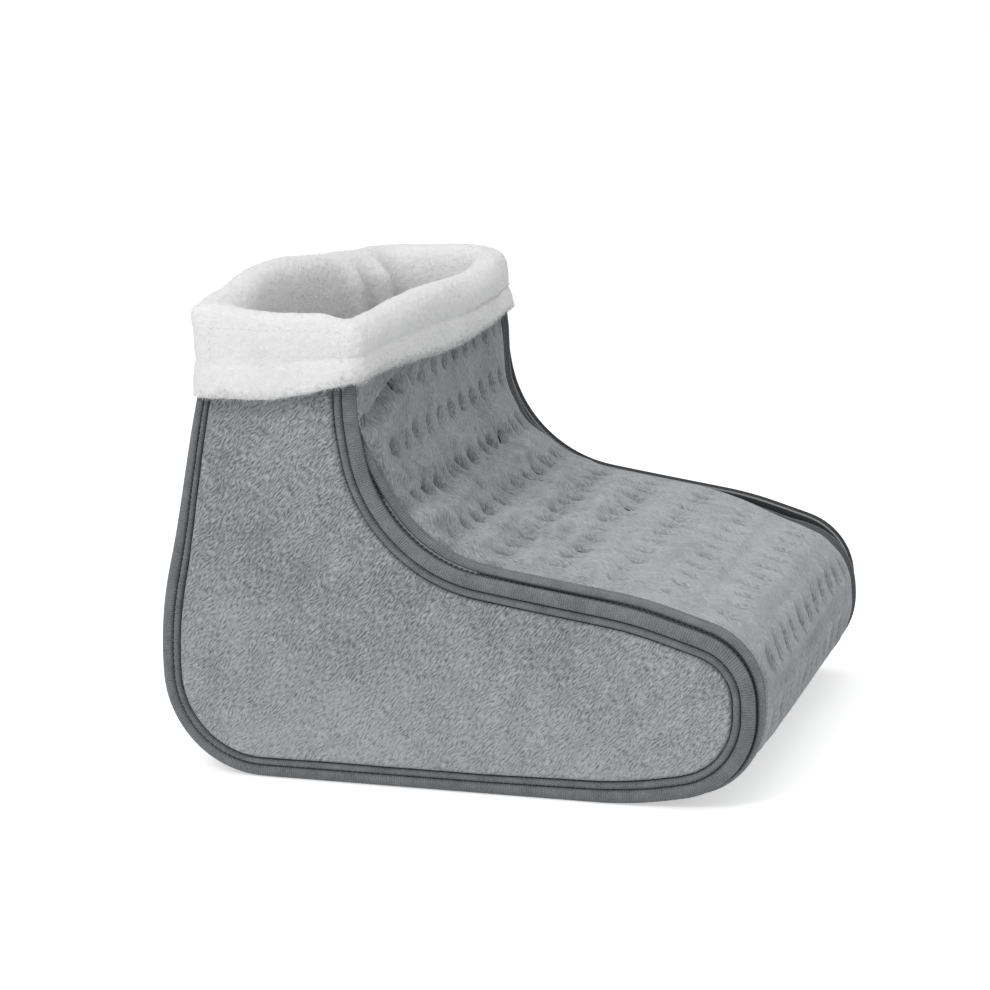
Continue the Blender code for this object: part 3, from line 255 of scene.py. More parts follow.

# %% [markdown]
# ## Cloths and plastics
#
# The boot's grey cloth is a flannel with a short pile. Brushing lays the pile in small slanted
# streaks, which catch the light in turn, over large soft blotches where a hand has turned it. Both are
# noise: one stretched along the slant, one left round. The streaks' light and shade is painted into the
# colour, and the streaks also lift the surface a little. On the strip, painted light makes the foot
# lighter, painted shade makes the shaft and the toe darker, and a little painted light lies over the
# bend at the instep. Painted shade darkens a slit beside each tack, a hollow round it and, at the bend,
# a furrow along each row of tacks, so the tacks' places come first.

# %% Flannel
TACK_PITCH = 0.0186
TACK_COLUMNS = 11
TACK_ROW_PITCH = 0.030
FIRST_TACK_ROW = 0.037
TACK_LENGTH = 0.0050
TACKED_HALF = (0.099, 0.101)
# where the painted shade in each tack's slit lies, and how dark it is
SLIT_SIDE = 0.0006
SLIT_LENGTH = (0.0020, 0.0036)
SLIT_WIDTH = (0.0006, 0.0013)
SLIT_PAINTED_SHADE_SHARE = 0.9
# painted shade in a hollow round each tack and in a furrow along each row at the bend, and painted light
# over the bend
HOLLOW_LENGTH = (0.002, 0.0070)
HOLLOW_WIDTH = (0.001, 0.0042)
HOLLOW_PAINTED_SHADE = 0.05
BEND_HOLLOW_PAINTED_SHADE = 0.10
FURROW_WIDTH = (0.001, 0.009)
FURROW_PAINTED_SHADE = 0.20
BEND_PAINTED_LIGHT = 0.02
BEND_STARTS = (0.06, 0.10)
BEND_ENDS = (0.17, 0.25)
# painted shade on the shaft and the toe, painted light over the foot
SHAFT_PAINTED_SHADE = 0.15
FOOT_PAINTED_LIGHT = 0.36
FOOT_STARTS = (0.085, 0.215)
TOE_PAINTED_SHADE = 0.18
TOE_STARTS = (0.265, 0.30)
# heights over which the panel's painted light fades out upwards
LOW_HEIGHTS = (0.015, 0.105)
# colour of the painted shade in the tacks' slits
SLIT_PAINTED_SHADE = (0.050, 0.055, 0.060)
FLANNEL_DARK = (0.150, 0.163, 0.175)
FLANNEL_PALE = (0.500, 0.527, 0.547)
STREAK_SIZE = (0.0030, 0.00085, 0.001)
STREAK_HEIGHT = 0.0021
# how strongly the streaks' painted light and shade shows
STREAK_PAINTED_SHADING = 2.9
FINE_SIZE = (0.0016, 0.0005, 0.001)
FINE_HEIGHT = 0.0004
FINE_PAINTED_SHADING = 1.0
BLOTCH_SIZE = 0.014
BLOTCH_HEIGHT = 0.0008
WIDE_SIZE = 0.05
BLOTCH_CONTRAST = 0.6
NAP_SWAY = 0.0045
SWAY_SIZE = 0.012
OTHER_SWAY = (0.31, 0.17, 0.0)


def strip_painted_shade(look, cloth, shade):
    """Painted light on the foot, painted shade on shaft, toe and tack hollows, and the slits' shade mask.
    """
    along = look.part_of(cloth, 0)
    # painted light over the foot, painted shade on the shaft and the toe
    shade = shade + along.between(*FOOT_STARTS) * FOOT_PAINTED_LIGHT
    shade = shade - along.between(*TOE_STARTS) * TOE_PAINTED_SHADE - SHAFT_PAINTED_SHADE
    row_away = along.away_from(FIRST_TACK_ROW, TACK_ROW_PITCH)
    column_away = look.part_of(cloth, 1).away_from(0.0, TACK_PITCH)
    bend = along.between(*BEND_STARTS) * (1 - along.between(*BEND_ENDS))
    # painted shade in the tacks' hollows and in the bend's furrows
    hollow = (1 - row_away.between(*HOLLOW_LENGTH)) * (1 - column_away.between(*HOLLOW_WIDTH))
    furrow = (1 - row_away.between(*FURROW_WIDTH)) * bend
    shade = shade - hollow * (bend * BEND_HOLLOW_PAINTED_SHADE + HOLLOW_PAINTED_SHADE)
    shade = shade - furrow * FURROW_PAINTED_SHADE + bend * BEND_PAINTED_LIGHT
    # painted shade in a slit beside each tack
    slit_away = look.part_of(cloth, 1).away_from(SLIT_SIDE, TACK_PITCH)
    slit = (1 - row_away.between(*SLIT_LENGTH)) * (1 - slit_away.between(*SLIT_WIDTH))
    tacked = 1 - look.part_of(cloth, 1).away_from(0.0, 1.0).between(*TACKED_HALF)
    return shade, slit * tacked


def flannel_look(name, slant, sheen, pile=1.0, strip_painted_shading=False, painted_low_light=0.0):
    """Short-pile flannel whose streaks lie at this slant to the cut's length, with their light and shade
    painted in.
    """
    look = Look(name, 0.9, sheen=sheen)
    cloth = look.cloth()
    sway = look.cloud(cloth, SWAY_SIZE, 1.0)
    swirl = look.cloud(cloth + OTHER_SWAY, SWAY_SIZE, 1.0)
    bent = cloth + look.join(sway - 0.5, swirl - 0.5) * NAP_SWAY
    sockets = {"Vector": bent, "Angle": slant}
    turned = look.node("ShaderNodeVectorRotate", {"rotation_type": "Z_AXIS"}, sockets)
    streak = look.cloud(turned, STREAK_SIZE, 2.0, 0.5)
    fine = look.cloud(turned, FINE_SIZE, 2.0, 0.6)
    blotch = look.cloud(cloth, BLOTCH_SIZE, 3.0, 0.6)
    wide = look.cloud(cloth, WIDE_SIZE, 2.0)
    # painted light and shade of the nap's streaks
    nap = ((streak - 0.5) * STREAK_PAINTED_SHADING + (fine - 0.5) * FINE_PAINTED_SHADING) * pile
    shade = nap + (blotch - 0.5) * BLOTCH_CONTRAST + (wide - 0.5) * BLOTCH_CONTRAST + 0.5
    # painted light and shade along the strip and round the tacks
    if strip_painted_shading:
        shade, slit = strip_painted_shade(look, cloth, shade)
    # painted light: the panel is lighter low down
    if painted_low_light:
        shade = shade + (1 - look.part_of(cloth, 1).between(*LOW_HEIGHTS)) * painted_low_light
    colour = look.mixed(FLANNEL_DARK, FLANNEL_PALE, shade.between(0.0, 1.0))
    # painted shade in the tacks' slits
    if strip_painted_shading:
        colour = look.mixed(colour, SLIT_PAINTED_SHADE, slit * SLIT_PAINTED_SHADE_SHARE)
    look.feed("Base Color", colour)
    look.bump(streak * (STREAK_HEIGHT * pile) + fine * FINE_HEIGHT + blotch * BLOTCH_HEIGHT)
    return look.material


# the side panels get painted light low down
panel_flannel = flannel_look("panel_flannel", math.radians(-48), 0.25, painted_low_light=0.34)
strip_flannel = flannel_look("strip_flannel", math.radians(18), 0.4, pile=0.55, strip_painted_shading=True)
heel_flannel = flannel_look("heel_flannel", math.radians(35), 0.25)
print("flannels made")

# %% [markdown]
# The tape is a narrow knit with fine ribs across its length. A wave along the tape makes the ribs,
# with painted shade in their valleys, and a slow noise keeps the tape from looking printed. Where the
# tape lies in shade, inside a seam or down in a valley, it is painted nearly black as painted shade, so
# each tape is told between which two places of its section it is in the light. Near its seams the tape
# is darker, partly from the dark stitching and partly from painted shade in the grooves. The strip's
# far tape is a copy darkened all over with painted shade.

# %% Ribbed tape
TAPE_DARK = (0.070, 0.077, 0.084)
TAPE_PALE = (0.285, 0.304, 0.322)
# colour of the painted shade on the tape where it lies in a seam or a valley
TAPE_PAINTED_SHADE = (0.016, 0.017, 0.018)
TAPE_FADE = 0.0014
RIB_PITCH = 0.00125
RIB_HEIGHT = 0.0003
# painted shade in the ribs' valleys
RIB_PAINTED_SHADE = 0.26
RIB_SWAY = 0.0009
WEAR_CONTRAST = 0.9
LINT_HEIGHT = 0.0003
TAPE_SHADE = 0.38
# the seams darken the tape, partly as dark stitching, partly as painted shade in their grooves
SEAM_REACH = 0.0012
SEAM_STITCH_AND_PAINTED_SHADE = 0.8


def tape_look(name, lit, seams=(), level=1.0):
    """Ribbed knit tape, lit between two places of its section and in painted shade outside them; its seams
    are darkened partly as stitching, partly as painted shade.
    """
    look = Look(name, 0.85, sheen=0.15)
    cloth = look.cloth()
    along = look.part_of(cloth, 0)
    section = look.part_of(cloth, 1)
    wander = look.cloud(cloth, 0.004, 2.0) * RIB_SWAY
    # the ribs, darker in their valleys as painted shade
    rib = (along + wander).wave(RIB_PITCH)
    wear = look.cloud(cloth, 0.010, 3.0, 0.6)
    lint = look.cloud(cloth, FINE_SIZE, 2.0, 0.6)
    # a level below 1 darkens the whole tape as painted shade
    shade = (rib * RIB_PAINTED_SHADE + (wear - 0.5) * WEAR_CONTRAST + (lint - 0.5) * 1.0 + TAPE_SHADE) * level
    knit = look.mixed(TAPE_DARK, TAPE_PALE, shade.between(0.0, 1.0))
    # painted shade outside the lit part of the section
    past = section.between(lit[1], lit[1] + TAPE_FADE)
    lit_part = section.between(lit[0] - TAPE_FADE, lit[0]) * (1 - past)
    # darker near each seam: partly dark stitching, partly painted shade
    for place in seams:
        near = section.between(place - SEAM_REACH, place) * (1 - section.between(place, place + SEAM_REACH))
        lit_part = lit_part * (1 - near * SEAM_STITCH_AND_PAINTED_SHADE)
    look.feed("Base Color", look.mixed(TAPE_PAINTED_SHADE, knit, lit_part))
    look.bump(rib * RIB_HEIGHT + lint * LINT_HEIGHT)
    return look.material


EVERYWHERE = (0.0, 1.0)
# the strip tapes are lit only past their valley, which gets painted shade
FROM_THE_VALLEY = (0.0034, 1.0)
# the far strip tape is darkened all over, as painted shade
FAR_TAPE_PAINTED_SHADE_LEVEL = 0.15
side_tape_knit = tape_look("side_tape_knit", (0.0, 0.0190), seams=(0.0, 0.0086))
strip_tape_knits = {
    "right": tape_look("strip_tape_knit", FROM_THE_VALLEY),
    "left": tape_look("shaded_tape_knit", FROM_THE_VALLEY, level=FAR_TAPE_PAINTED_SHADE_LEVEL),
}
rim_tape_knit = tape_look("rim_tape_knit", EVERYWHERE)
print("tapes made")

# %% [markdown]
# The liner is plush fleece. Its long pile stands in small tufts that shade each other, so a white
# fleece is never one white. Tufts of two sizes set the colour and the relief. Inside the mouth the
# fleece gets painted shade, greyer on its inner wall.

# %% Fleece
FLEECE_SHADE = (0.80, 0.80, 0.803)
FLEECE_WHITE = (0.93, 0.93, 0.932)
# colour and share of the painted shade inside the mouth
MOUTH_PAINTED_SHADE = (0.62, 0.62, 0.625)
MOUTH_PAINTED_SHADE_SHARE = 0.5
TUFT_RELIEF = 0.0009
PILE_RELIEF = 0.0004


def fleece_look(name, inside=None):
    """Off-white plush fleece, with painted shade from two places of its section on, if they are given."""
    look = Look(name, 0.95, sheen=0.35)
    space = look.space()
    tuft = look.cloud(space, 0.0035, 3.0, 0.6)
    pile = look.cloud(space, 0.0008, 2.0, 0.6)
    drift = look.cloud(space, 0.022, 2.0)
    shade = tuft * 0.5 + pile * 0.3 + drift * 0.45
    plush = look.mixed(FLEECE_SHADE, FLEECE_WHITE, shade.between(0.35, 0.85))
    if inside:
        # painted shade on the inner wall of the mouth
        deep = look.part_of(look.cloth(), 1).between(*inside)
        plush = look.mixed(plush, MOUTH_PAINTED_SHADE, deep * MOUTH_PAINTED_SHADE_SHARE)
    look.feed("Base Color", plush)
    look.bump(tuft * TUFT_RELIEF + pile * PILE_RELIEF)
    return look.material


plush_fleece = fleece_look("plush_fleece")
mouth_fleece = fleece_look("mouth_fleece", inside=(0.058, 0.082))
print("fleece made")

# %% [markdown]
# The rest shows only when the boot is turned round or its liner is taken out: a plain woven lining, a
# non-slip sole with rubber dots, black moulded plastic and brass at the inlet, and the wires between
# the layers.

# %% Lining, sole cloth and small parts
DOT_PITCH = 0.0045
DOT_SHARE = 0.30
DOT_FADE = 0.12
DOT_HEIGHT = 0.0003
FELT_HEIGHT = 0.0001
WEAVE_HEIGHT = 0.00012
GRAIN_HEIGHT = 0.00003


def lining_look(name, low, high, thread):
    """Plain weave: two sets of threads at right angles."""
    look = Look(name, 0.85, sheen=0.1)
    cloth = look.cloth()
    over = look.part_of(cloth, 0).wave(thread)
    under = look.part_of(cloth, 1).wave(thread)
    weave = over * under
    fade = look.cloud(cloth, 0.02, 3.0, 0.6)
    look.feed("Base Color", look.mixed(low, high, (weave * 0.5 + fade * 0.8).between(0.1, 1.0)))
    look.bump(weave * WEAVE_HEIGHT)
    return look.material


def sole_look():
    """Dark cloth with small rubber dots that grip the floor."""
    look = Look("grip_cloth", 0.8)
    cloth = look.cloth()
    along = look.part_of(cloth, 0).wave(DOT_PITCH)
    across = look.part_of(cloth, 1).wave(DOT_PITCH)
    dot = (along * across).between(1 - DOT_SHARE - DOT_FADE, 1 - DOT_SHARE)
    felt = look.cloud(cloth, 0.0012, 3.0, 0.6)
    plain = look.mixed((0.050, 0.052, 0.056), (0.095, 0.098, 0.104), felt)
    look.feed("Base Color", look.mixed(plain, (0.018, 0.018, 0.019), dot))
    look.feed("Roughness", 0.9 - dot * 0.35)
    look.bump(dot * DOT_HEIGHT + felt * FELT_HEIGHT)
    return look.material


def moulded_look(name, low, high, roughness, metallic=0.0, size=0.0007):
    """A moulded or drawn part with a fine grain and slightly uneven gloss."""
    look = Look(name, roughness, metallic)
    space = look.space()
    grain = look.cloud(space, size, 3.0, 0.6)
    handled = look.cloud(space, 0.008, 2.0)
    look.feed("Base Color", look.mixed(low, high, grain * 0.5 + handled * 0.5))
    look.feed("Roughness", handled * 0.2 + (roughness - 0.1))
    look.bump(grain * GRAIN_HEIGHT)
    return look.material


inner_cloth = lining_look("inner_cloth", (0.20, 0.20, 0.205), (0.42, 0.42, 0.43), 0.0009)
grip_cloth = sole_look()
small_parts = {
    "loop_tape": moulded_look("loop_tape", (0.34, 0.34, 0.35), (0.60, 0.60, 0.61), 0.95, size=0.0009),
    "hook_tape": moulded_look("hook_tape", (0.30, 0.30, 0.31), (0.50, 0.50, 0.51), 0.5, size=0.0012),
    "foam": moulded_look("foam", (0.62, 0.62, 0.60), (0.80, 0.80, 0.78), 0.9, size=0.0015),
    "heating_wire": moulded_look("heating_wire", (0.70, 0.66, 0.60), (0.80, 0.77, 0.71), 0.5),
    "sleeve": moulded_look("sleeve", (0.02, 0.02, 0.022), (0.05, 0.05, 0.052), 0.5),
    "black_plastic": moulded_look("black_plastic", (0.014, 0.014, 0.015), (0.028, 0.028, 0.030), 0.45),
    "brass": moulded_look("brass", (0.72, 0.50, 0.22), (0.82, 0.62, 0.32), 0.3, 1.0),
    "blue_lead": moulded_look("blue_lead", (0.03, 0.10, 0.38), (0.05, 0.15, 0.48), 0.45),
    "brown_lead": moulded_look("brown_lead", (0.13, 0.055, 0.025), (0.18, 0.08, 0.04), 0.45),
}
seam_thread = moulded_look("seam_thread", (0.060, 0.065, 0.070), (0.130, 0.138, 0.148), 0.7, size=0.0004)
tack_thread = moulded_look("tack_thread", (0.018, 0.020, 0.022), (0.040, 0.044, 0.048), 0.9, size=0.0004)
cuff_thread = moulded_look("cuff_thread", (0.78, 0.78, 0.78), (0.88, 0.88, 0.88), 0.8, size=0.0004)
print("small finishes:", ", ".join(small_parts))

# %% [markdown]
# ## The side outline
#
# The whole boot hangs on one line: its side view, drawn from the front of the rim down over the
# instep, round the toe, along the floor and up the heel. It is straight lines joined by arcs, as a
# pattern cutter draws it. A place on the boot is then a length along the line, a depth under it and
# a width across. Softening the line a little takes the corners out of the joins between arcs.

# %% The outline as a table of points
OUTLINE_CORNERS = (
    (-0.046, 0.239, 0),
    (-0.046, 0.195, 0.100),
    (-0.0355, 0.1245, 0.072),
    (0.100, 0.103, 0.200),
    (0.160, 0.0844, 0.036),
    (0.160, 0.013, 0.046),
    (0.095, 0, 0.200),
    (-0.160, 0, 0.054),
    (-0.160, 0.086, 0.220),
    (-0.1213, 0.239, 0),
)
LINER_CORNERS = (
    (-0.0571, 0.1897, 0),
    (-0.0453, 0.1148, 0.0831),
    (0.0975, 0.0922, 0.1889),
    (0.1489, 0.0762, 0.0249),
    (0.1489, 0.0221, 0.0349),
    (0.0939, 0.0111, 0.1889),
    (-0.1489, 0.0111, 0.0429),
    (-0.1489, 0.0800, 0.1200),
    (-0.10855, 0.1897, 0),
)
ARC_STEP = math.radians(1)
LINE_STEP = 0.001
SOFTENING = 0.003


def arc_points(before, corner, after, radius):
    """Points of the arc that rounds a corner."""
    start = (before - corner).normalized()
    end = (after - corner).normalized()
    half = start.angle(end) / 2
    middle = (start + end).normalized()
    centre = corner + middle * (radius / math.sin(half))
    reach = radius / math.tan(half)
    first = corner + start * reach - centre
    sweep = first.angle_signed(corner + end * reach - centre)
    count = max(2, math.ceil(abs(sweep) / ARC_STEP))
    return [centre + (Matrix.Rotation(-sweep * i / count, 2) @ first) for i in range(count + 1)]


class Outline:
    """The side outline as a table of lengths, points and inward directions."""

    def __init__(self, corners):
        points = [Vector(corner[:2]) for corner in corners]
        line = [points[0]]
        for i in range(1, len(points) - 1):
            line += arc_points(points[i - 1], points[i], points[i + 1], corners[i][2])
        line.append(points[-1])
        line = np.array([tuple(point) for point in line])
        lengths = np.concatenate(([0], np.cumsum(np.hypot(*np.diff(line, axis=0).T))))
        count = round(lengths[-1] / LINE_STEP)
        even = np.linspace(0, lengths[-1], count + 1)
        x = self.softened(np.interp(even, lengths, line[:, 0]))
        z = self.softened(np.interp(even, lengths, line[:, 1]))
        steps = np.hypot(np.diff(x), np.diff(z))
        self.along = np.concatenate(([0], np.cumsum(steps)))
        self.length = self.along[-1]
        along_x = np.gradient(x, self.along)
        along_z = np.gradient(z, self.along)
        scale = np.hypot(along_x, along_z)
        self.table = np.stack((x, z, along_z / scale, -along_x / scale))

    @staticmethod
    def softened(values):
        """The values smoothed over a few millimetres, with both ends kept."""
        reach = round(4 * SOFTENING / LINE_STEP)
        offsets = np.arange(-reach, reach + 1) * LINE_STEP
        weights = np.exp(-0.5 * (offsets / SOFTENING) ** 2)
        weights /= weights.sum()
        before = 2 * values[0] - values[reach:0:-1]
        after = 2 * values[-1] - values[-2:-reach - 2:-1]
        return np.convolve(np.concatenate((before, values, after)), weights, "valid")

    def points(self, along, depth, across):
        """The points at these lengths, depths under the line and places across, as one array."""
        along, depth, across = np.broadcast_arrays(along, depth, across)
        x, z, inward_x, inward_z = (np.interp(along, self.along, row) for row in self.table)
        return np.stack((x + inward_x * depth, across, z + inward_z * depth), axis=-1)

    def place_of(self, x, z):
        """The length along the line of the point that lies nearest."""
        return self.along[np.argmin(np.hypot(self.table[0] - x, self.table[1] - z))]


boot = Outline(OUTLINE_CORNERS)
liner = Outline(LINER_CORNERS)
sole_low, sole_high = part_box("sole_cloth")
TOE_SEAM = boot.place_of(sole_high.x, 0)
HEEL_SEAM = boot.place_of(sole_low.x, 0)
print("outline", round(boot.length, 4), "m, seams at", round(TOE_SEAM, 4), "and", round(HEEL_SEAM, 4))

# %% [markdown]
# ## How the cloth settles
#
# A soft boot that stands by itself is never as true as its pattern. Three slow movements of the whole
# cloth are enough: the back of the shaft bows outwards, its far corner sinks, and everything wanders by
# less than a millimetre. Every piece goes through the same movement, so neighbours stay together.
# Besides that, the strip drops away from the panels' tape at the instep, where the real seam gapes.

# %% Slow movements of the cloth
BACK_BOW = 0.014
BOW_BOTTOM = 0.113
BOW_SKEW = 0.64
BACK_RISE = 0.0093
RISE_NARROWING = 1.2
FRONT_SINK = 0.0088
BACK_SINK = 0.003
RIM_HEIGHT = 0.239
CUFF_BOTTOM = 0.2058
STRIP_EDGE = 0.1194
RIM_FRONT = -0.046
RIM_BACK = -0.1213
INNER_FRONT = -0.0611
INNER_BACK = -0.1057
BACK_PUSH = 0.0032
FAR_PULL = 0.0052
WANDER = 0.0005
GAPE_DEPTH = 0.0012
GAPE_PULL = 0.0040
FAR_EDGE_SINK = 0.0036
FAR_EDGE_PLACES = (0.205, 0.250, 0.275, 0.325)
FAR_EDGE_WIDTHS = (0.050, 0.110)
SEAM_EDGE = (0.085, 0.113)
RIGHT_GAPES = ((1.0, 0.062, 0.100, 0.135, 0.185), (0.7, 0.205, 0.240, 0.270, 0.320))
LEFT_GAPES = ((1.3, 0.040, 0.078, 0.094, 0.118), (1.0, 0.235, 0.270, 0.300, 0.350))
FAR_SIDE = (0.25, 1.0)
NEAR_EDGE = (-0.130, -0.050)
PUSH_HEIGHTS = (0.115, 0.200)
CORNER_WIDTHS = (0.080, 0.130)
CORNER_START = -0.085
CORNER_HEIGHTS = (0.195, 0.235)
WANDER_PITCH = 0.085
WANDER_SEED = 10
FLOOR_CALM = (0.003, 0.03)
INLET_CALM_WIDTHS = (0.02, 0.04)
INLET_CALM_BACK = (0.12, 0.14)
INLET_CALM_HEIGHTS = (0.075, 0.095)


def share(values, start, end):
    """How far the values are on their way from start to end, kept between 0 and 1."""
    return np.clip((values - start) / (end - start), 0, 1)


def ramp(values, start, end):
    """A smooth step from 0 at start to 1 at end."""
    way = share(values, start, end)
    return way * way * (3 - 2 * way)


def wobble(points, pitch, seed):
    """A smooth random-looking number from -1 to 1 at each point."""
    phases = np.random.RandomState(seed).uniform(0, 2 * math.pi, 4)
    turns = np.random.RandomState(seed + 1).normal(0, 1, (4, 3))
    turns /= np.linalg.norm(turns, axis=1)[:, None]
    total = np.zeros(points.shape[:-1])
    for turn, phase in zip(turns, phases):
        total += np.sin(points @ turn * (2 * math.pi / pitch) + phase)
    return total / len(turns)


def settled(points):
    """Where the cloth of a true pattern ends up."""
    moved = points.copy()
    x, y, z = points[..., 0], points[..., 1], points[..., 2]
    across = share(y, -STRIP_EDGE, STRIP_EDGE)
    back = share(x, INNER_FRONT, INNER_BACK)
    swell = np.clip(np.sin(math.pi * across * (1 + BOW_SKEW * (1 - across))), 0, 1)
    bow = BACK_BOW * back * swell * ramp(z, BOW_BOTTOM, RIM_HEIGHT)
    under_cuff = share(z, CUFF_BOTTOM, RIM_HEIGHT)
    rise = BACK_RISE * back * swell ** RISE_NARROWING
    far_side = ramp(across, *FAR_SIDE)
    sink = (FRONT_SINK + (BACK_SINK - FRONT_SINK) * share(x, RIM_FRONT, RIM_BACK)) * far_side
    near_edge = 1 - ramp(y, *NEAR_EDGE)
    push = BACK_PUSH * back * near_edge * ramp(z, *PUSH_HEIGHTS)
    corner = ramp(y, *CORNER_WIDTHS) * ramp(x, CORNER_START, RIM_FRONT) * ramp(z, *CORNER_HEIGHTS)
    moved[..., 0] -= bow + push + FAR_PULL * corner
    moved[..., 2] += under_cuff * (rise - sink)
    lifted = ramp(z, *FLOOR_CALM)
    beside_inlet = (1 - ramp(np.abs(y), *INLET_CALM_WIDTHS)) * ramp(-x, *INLET_CALM_BACK)
    calm = 1 - beside_inlet * (1 - ramp(z, *INLET_CALM_HEIGHTS))
    for axis in range(3):
        moved[..., axis] += WANDER * wobble(points, WANDER_PITCH, WANDER_SEED + axis) * lifted * calm
    return moved


def lobe(values, start, peak, fall, end):
    """A smooth hill: up from start to peak, down from fall to end."""
    return ramp(values, start, peak) * (1 - ramp(values, fall, end))


def hill(*ways):
    """A bell curve that is 1 where every distance is 0; each way is a distance and its width."""
    return np.exp(-sum((distance / width) ** 2 for distance, width in ways))


def gape(along, across):
    """How far the seam gapes at each place, on the right and on the left."""
    right = sum(size * lobe(along, *places) for size, *places in RIGHT_GAPES)
    left = sum(size * lobe(along, *places) for size, *places in LEFT_GAPES)
    return np.where(across < 0, right, left)


def strip_points(along, depth, across):
    """Points on the strip, whose edges drop and draw in where the seam gapes."""
    along, depth, across = np.broadcast_arrays(along, depth, across)
    edge = ramp(np.abs(across), *SEAM_EDGE) * gape(along, across)
    sunk = FAR_EDGE_SINK * lobe(along, *FAR_EDGE_PLACES) * ramp(across, *FAR_EDGE_WIDTHS)
    return boot.points(along, depth + GAPE_DEPTH * edge + sunk, across - np.sign(across) * GAPE_PULL * edge)


print("bow at the back", BACK_BOW, "m")

# %% [markdown]
# ## From tables of points to meshes
#
# Every cut of cloth can be written as a table of points, so one function turns a table into a mesh.
# It also stores the flat cloth's own coordinates, in metres, as a UV map. The weave and the ribs
# follow that map, so they bend with the cloth.

# %% Meshes from tables
def mesh_piece(name, vertices, faces, uvs, material):
    """An object from vertices, faces and the flat-cloth place of each face corner."""
    mesh = bpy.data.meshes.new(name)
    mesh.from_pydata(vertices.tolist(), [], faces)
    layer = mesh.uv_layers.new(name="metres")
    layer.data.foreach_set("uv", np.asarray(uvs, np.float32).ravel())
    mesh.materials.append(material)
    mesh.shade_smooth()
    piece = bpy.data.objects.new(name, mesh)
    bpy.context.scene.collection.objects.link(piece)
    return piece


def facing_out(piece):
    """Turn the faces of a closed piece outwards."""
    bm = bmesh.new()
    bm.from_mesh(piece.data)
    bmesh.ops.recalc_face_normals(bm, faces=bm.faces)
    bm.to_mesh(piece.data)
    bm.free()
    return piece


def table_piece(name, table, material, along_closed=False, across_closed=False, ends=True):
    """A piece from rows and columns of points; an open tube gets flat ends."""
    rows, columns = table.shape[:2]
    index = np.arange(rows * columns).reshape(rows, columns)
    down = np.concatenate((index, index[:1])) if along_closed else index
    down = np.concatenate((down, down[:, :1]), axis=1) if across_closed else down
    corners = np.stack((down[:-1, :-1], down[:-1, 1:], down[1:, 1:], down[1:, :-1]), axis=-1)
    faces = corners.reshape(-1, 4).tolist()
    flat = table.reshape(-1, 3)
    laid = flat[down]
    along = np.linalg.norm(np.diff(laid, axis=0), axis=2).mean(axis=1)
    across = np.linalg.norm(np.diff(laid, axis=1), axis=2).mean(axis=0)
    u = np.concatenate(([0], np.cumsum(along)))
    v = np.concatenate(([0], np.cumsum(across)))
    grid = np.stack(np.meshgrid(u, v, indexing="ij"), axis=-1)
    uvs = np.stack((grid[:-1, :-1], grid[:-1, 1:], grid[1:, 1:], grid[1:, :-1]), axis=2).reshape(-1, 2)
    if across_closed and ends and not along_closed:
        faces += [index[0].tolist(), index[-1].tolist()]
        uvs = np.concatenate((uvs, np.zeros((2 * columns, 2))))
    piece = mesh_piece(name, flat, faces, uvs, material)
    return facing_out(piece) if across_closed and (ends or along_closed) else piece


def facing(piece, way):
    """Turn the faces of a flat cut so that they look this way."""
    total = sum((face.normal * face.area for face in piece.data.polygons), Vector())
    if total.dot(Vector(way)) < 0:
        piece.data.flip_normals()
    return piece


def merge_points(piece):
    """Join points that lie on each other, such as the last ring of a net."""
    bm = bmesh.new()
    bm.from_mesh(piece.data)
    bmesh.ops.remove_doubles(bm, verts=bm.verts, dist=0.00002)
    bm.to_mesh(piece.data)
    bm.free()


def grid(rows, columns):
    """Every row with every column."""
    return np.meshgrid(rows, columns, indexing="ij")


def move_points(piece, points):
    """Put a piece's points at these places."""
    piece.data.vertices.foreach_set("co", points.astype(np.float32).ravel())
    piece.data.update()


def lay_flat(piece, places):
    """Take these places, one for each point, as the map of the flat cloth."""
    corners = np.array([loop.vertex_index for loop in piece.data.loops])
    piece.data.uv_layers["metres"].data.foreach_set("uv", places[corners].astype(np.float32).ravel())


def thicken(piece, thickness):
    """Give a sheet its thickness on its inner side."""
    solid = piece.modifiers.new("thickness", "SOLIDIFY")
    solid.thickness = thickness
    solid.offset = -1
    return piece


def smoother(piece, levels=1):
    """Round a piece off with a subdivision surface."""
    surface = piece.modifiers.new("smooth", "SUBSURF")
    surface.levels = levels
    surface.render_levels = levels
    return piece


def tube_table(points, radius, sides=6):
    """Rings of points round a line, for a thread or a wire."""
    ahead = np.gradient(points, axis=0)
    ahead /= np.linalg.norm(ahead, axis=1)[:, None]
    side = np.cross(ahead, np.array([0.0, 0.0, 1.0]))
    weak = np.linalg.norm(side, axis=1) < 0.2
    side[weak] = np.cross(ahead[weak], np.array([0.0, 1.0, 0.0]))
    side /= np.linalg.norm(side, axis=1)[:, None]
    up = np.cross(side, ahead)
    angles = np.arange(sides) * (2 * math.pi / sides)
    ring = np.cos(angles)[None, :, None] * side[:, None] + np.sin(angles)[None, :, None] * up[:, None]
    return points[:, None] + ring * radius


def joined(name, pieces):
    """One piece from several."""
    with bpy.context.temp_override(active_object=pieces[0], selected_editable_objects=pieces):
        bpy.ops.object.join()
    pieces[0].name = name
    return pieces[0]


def dress(piece, body, slot, *nodes):
    """Say what a piece rides on and which solids it stands for; the slot, which would name its finish, is
    not used.
    """
    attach(piece, body)
    if nodes:
        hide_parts(*nodes)
    return piece


print("mesh tools ready")

# %% [markdown]
# ## Tape round the panels
#
# The tape is folded over the panel's edge and sewn down. Seen on the panel it is a crowned band, a
# groove where the needle went, and a thin ridge that the second row of stitches leaves. Its section
# is drawn once, point by point, and carried along the outline.

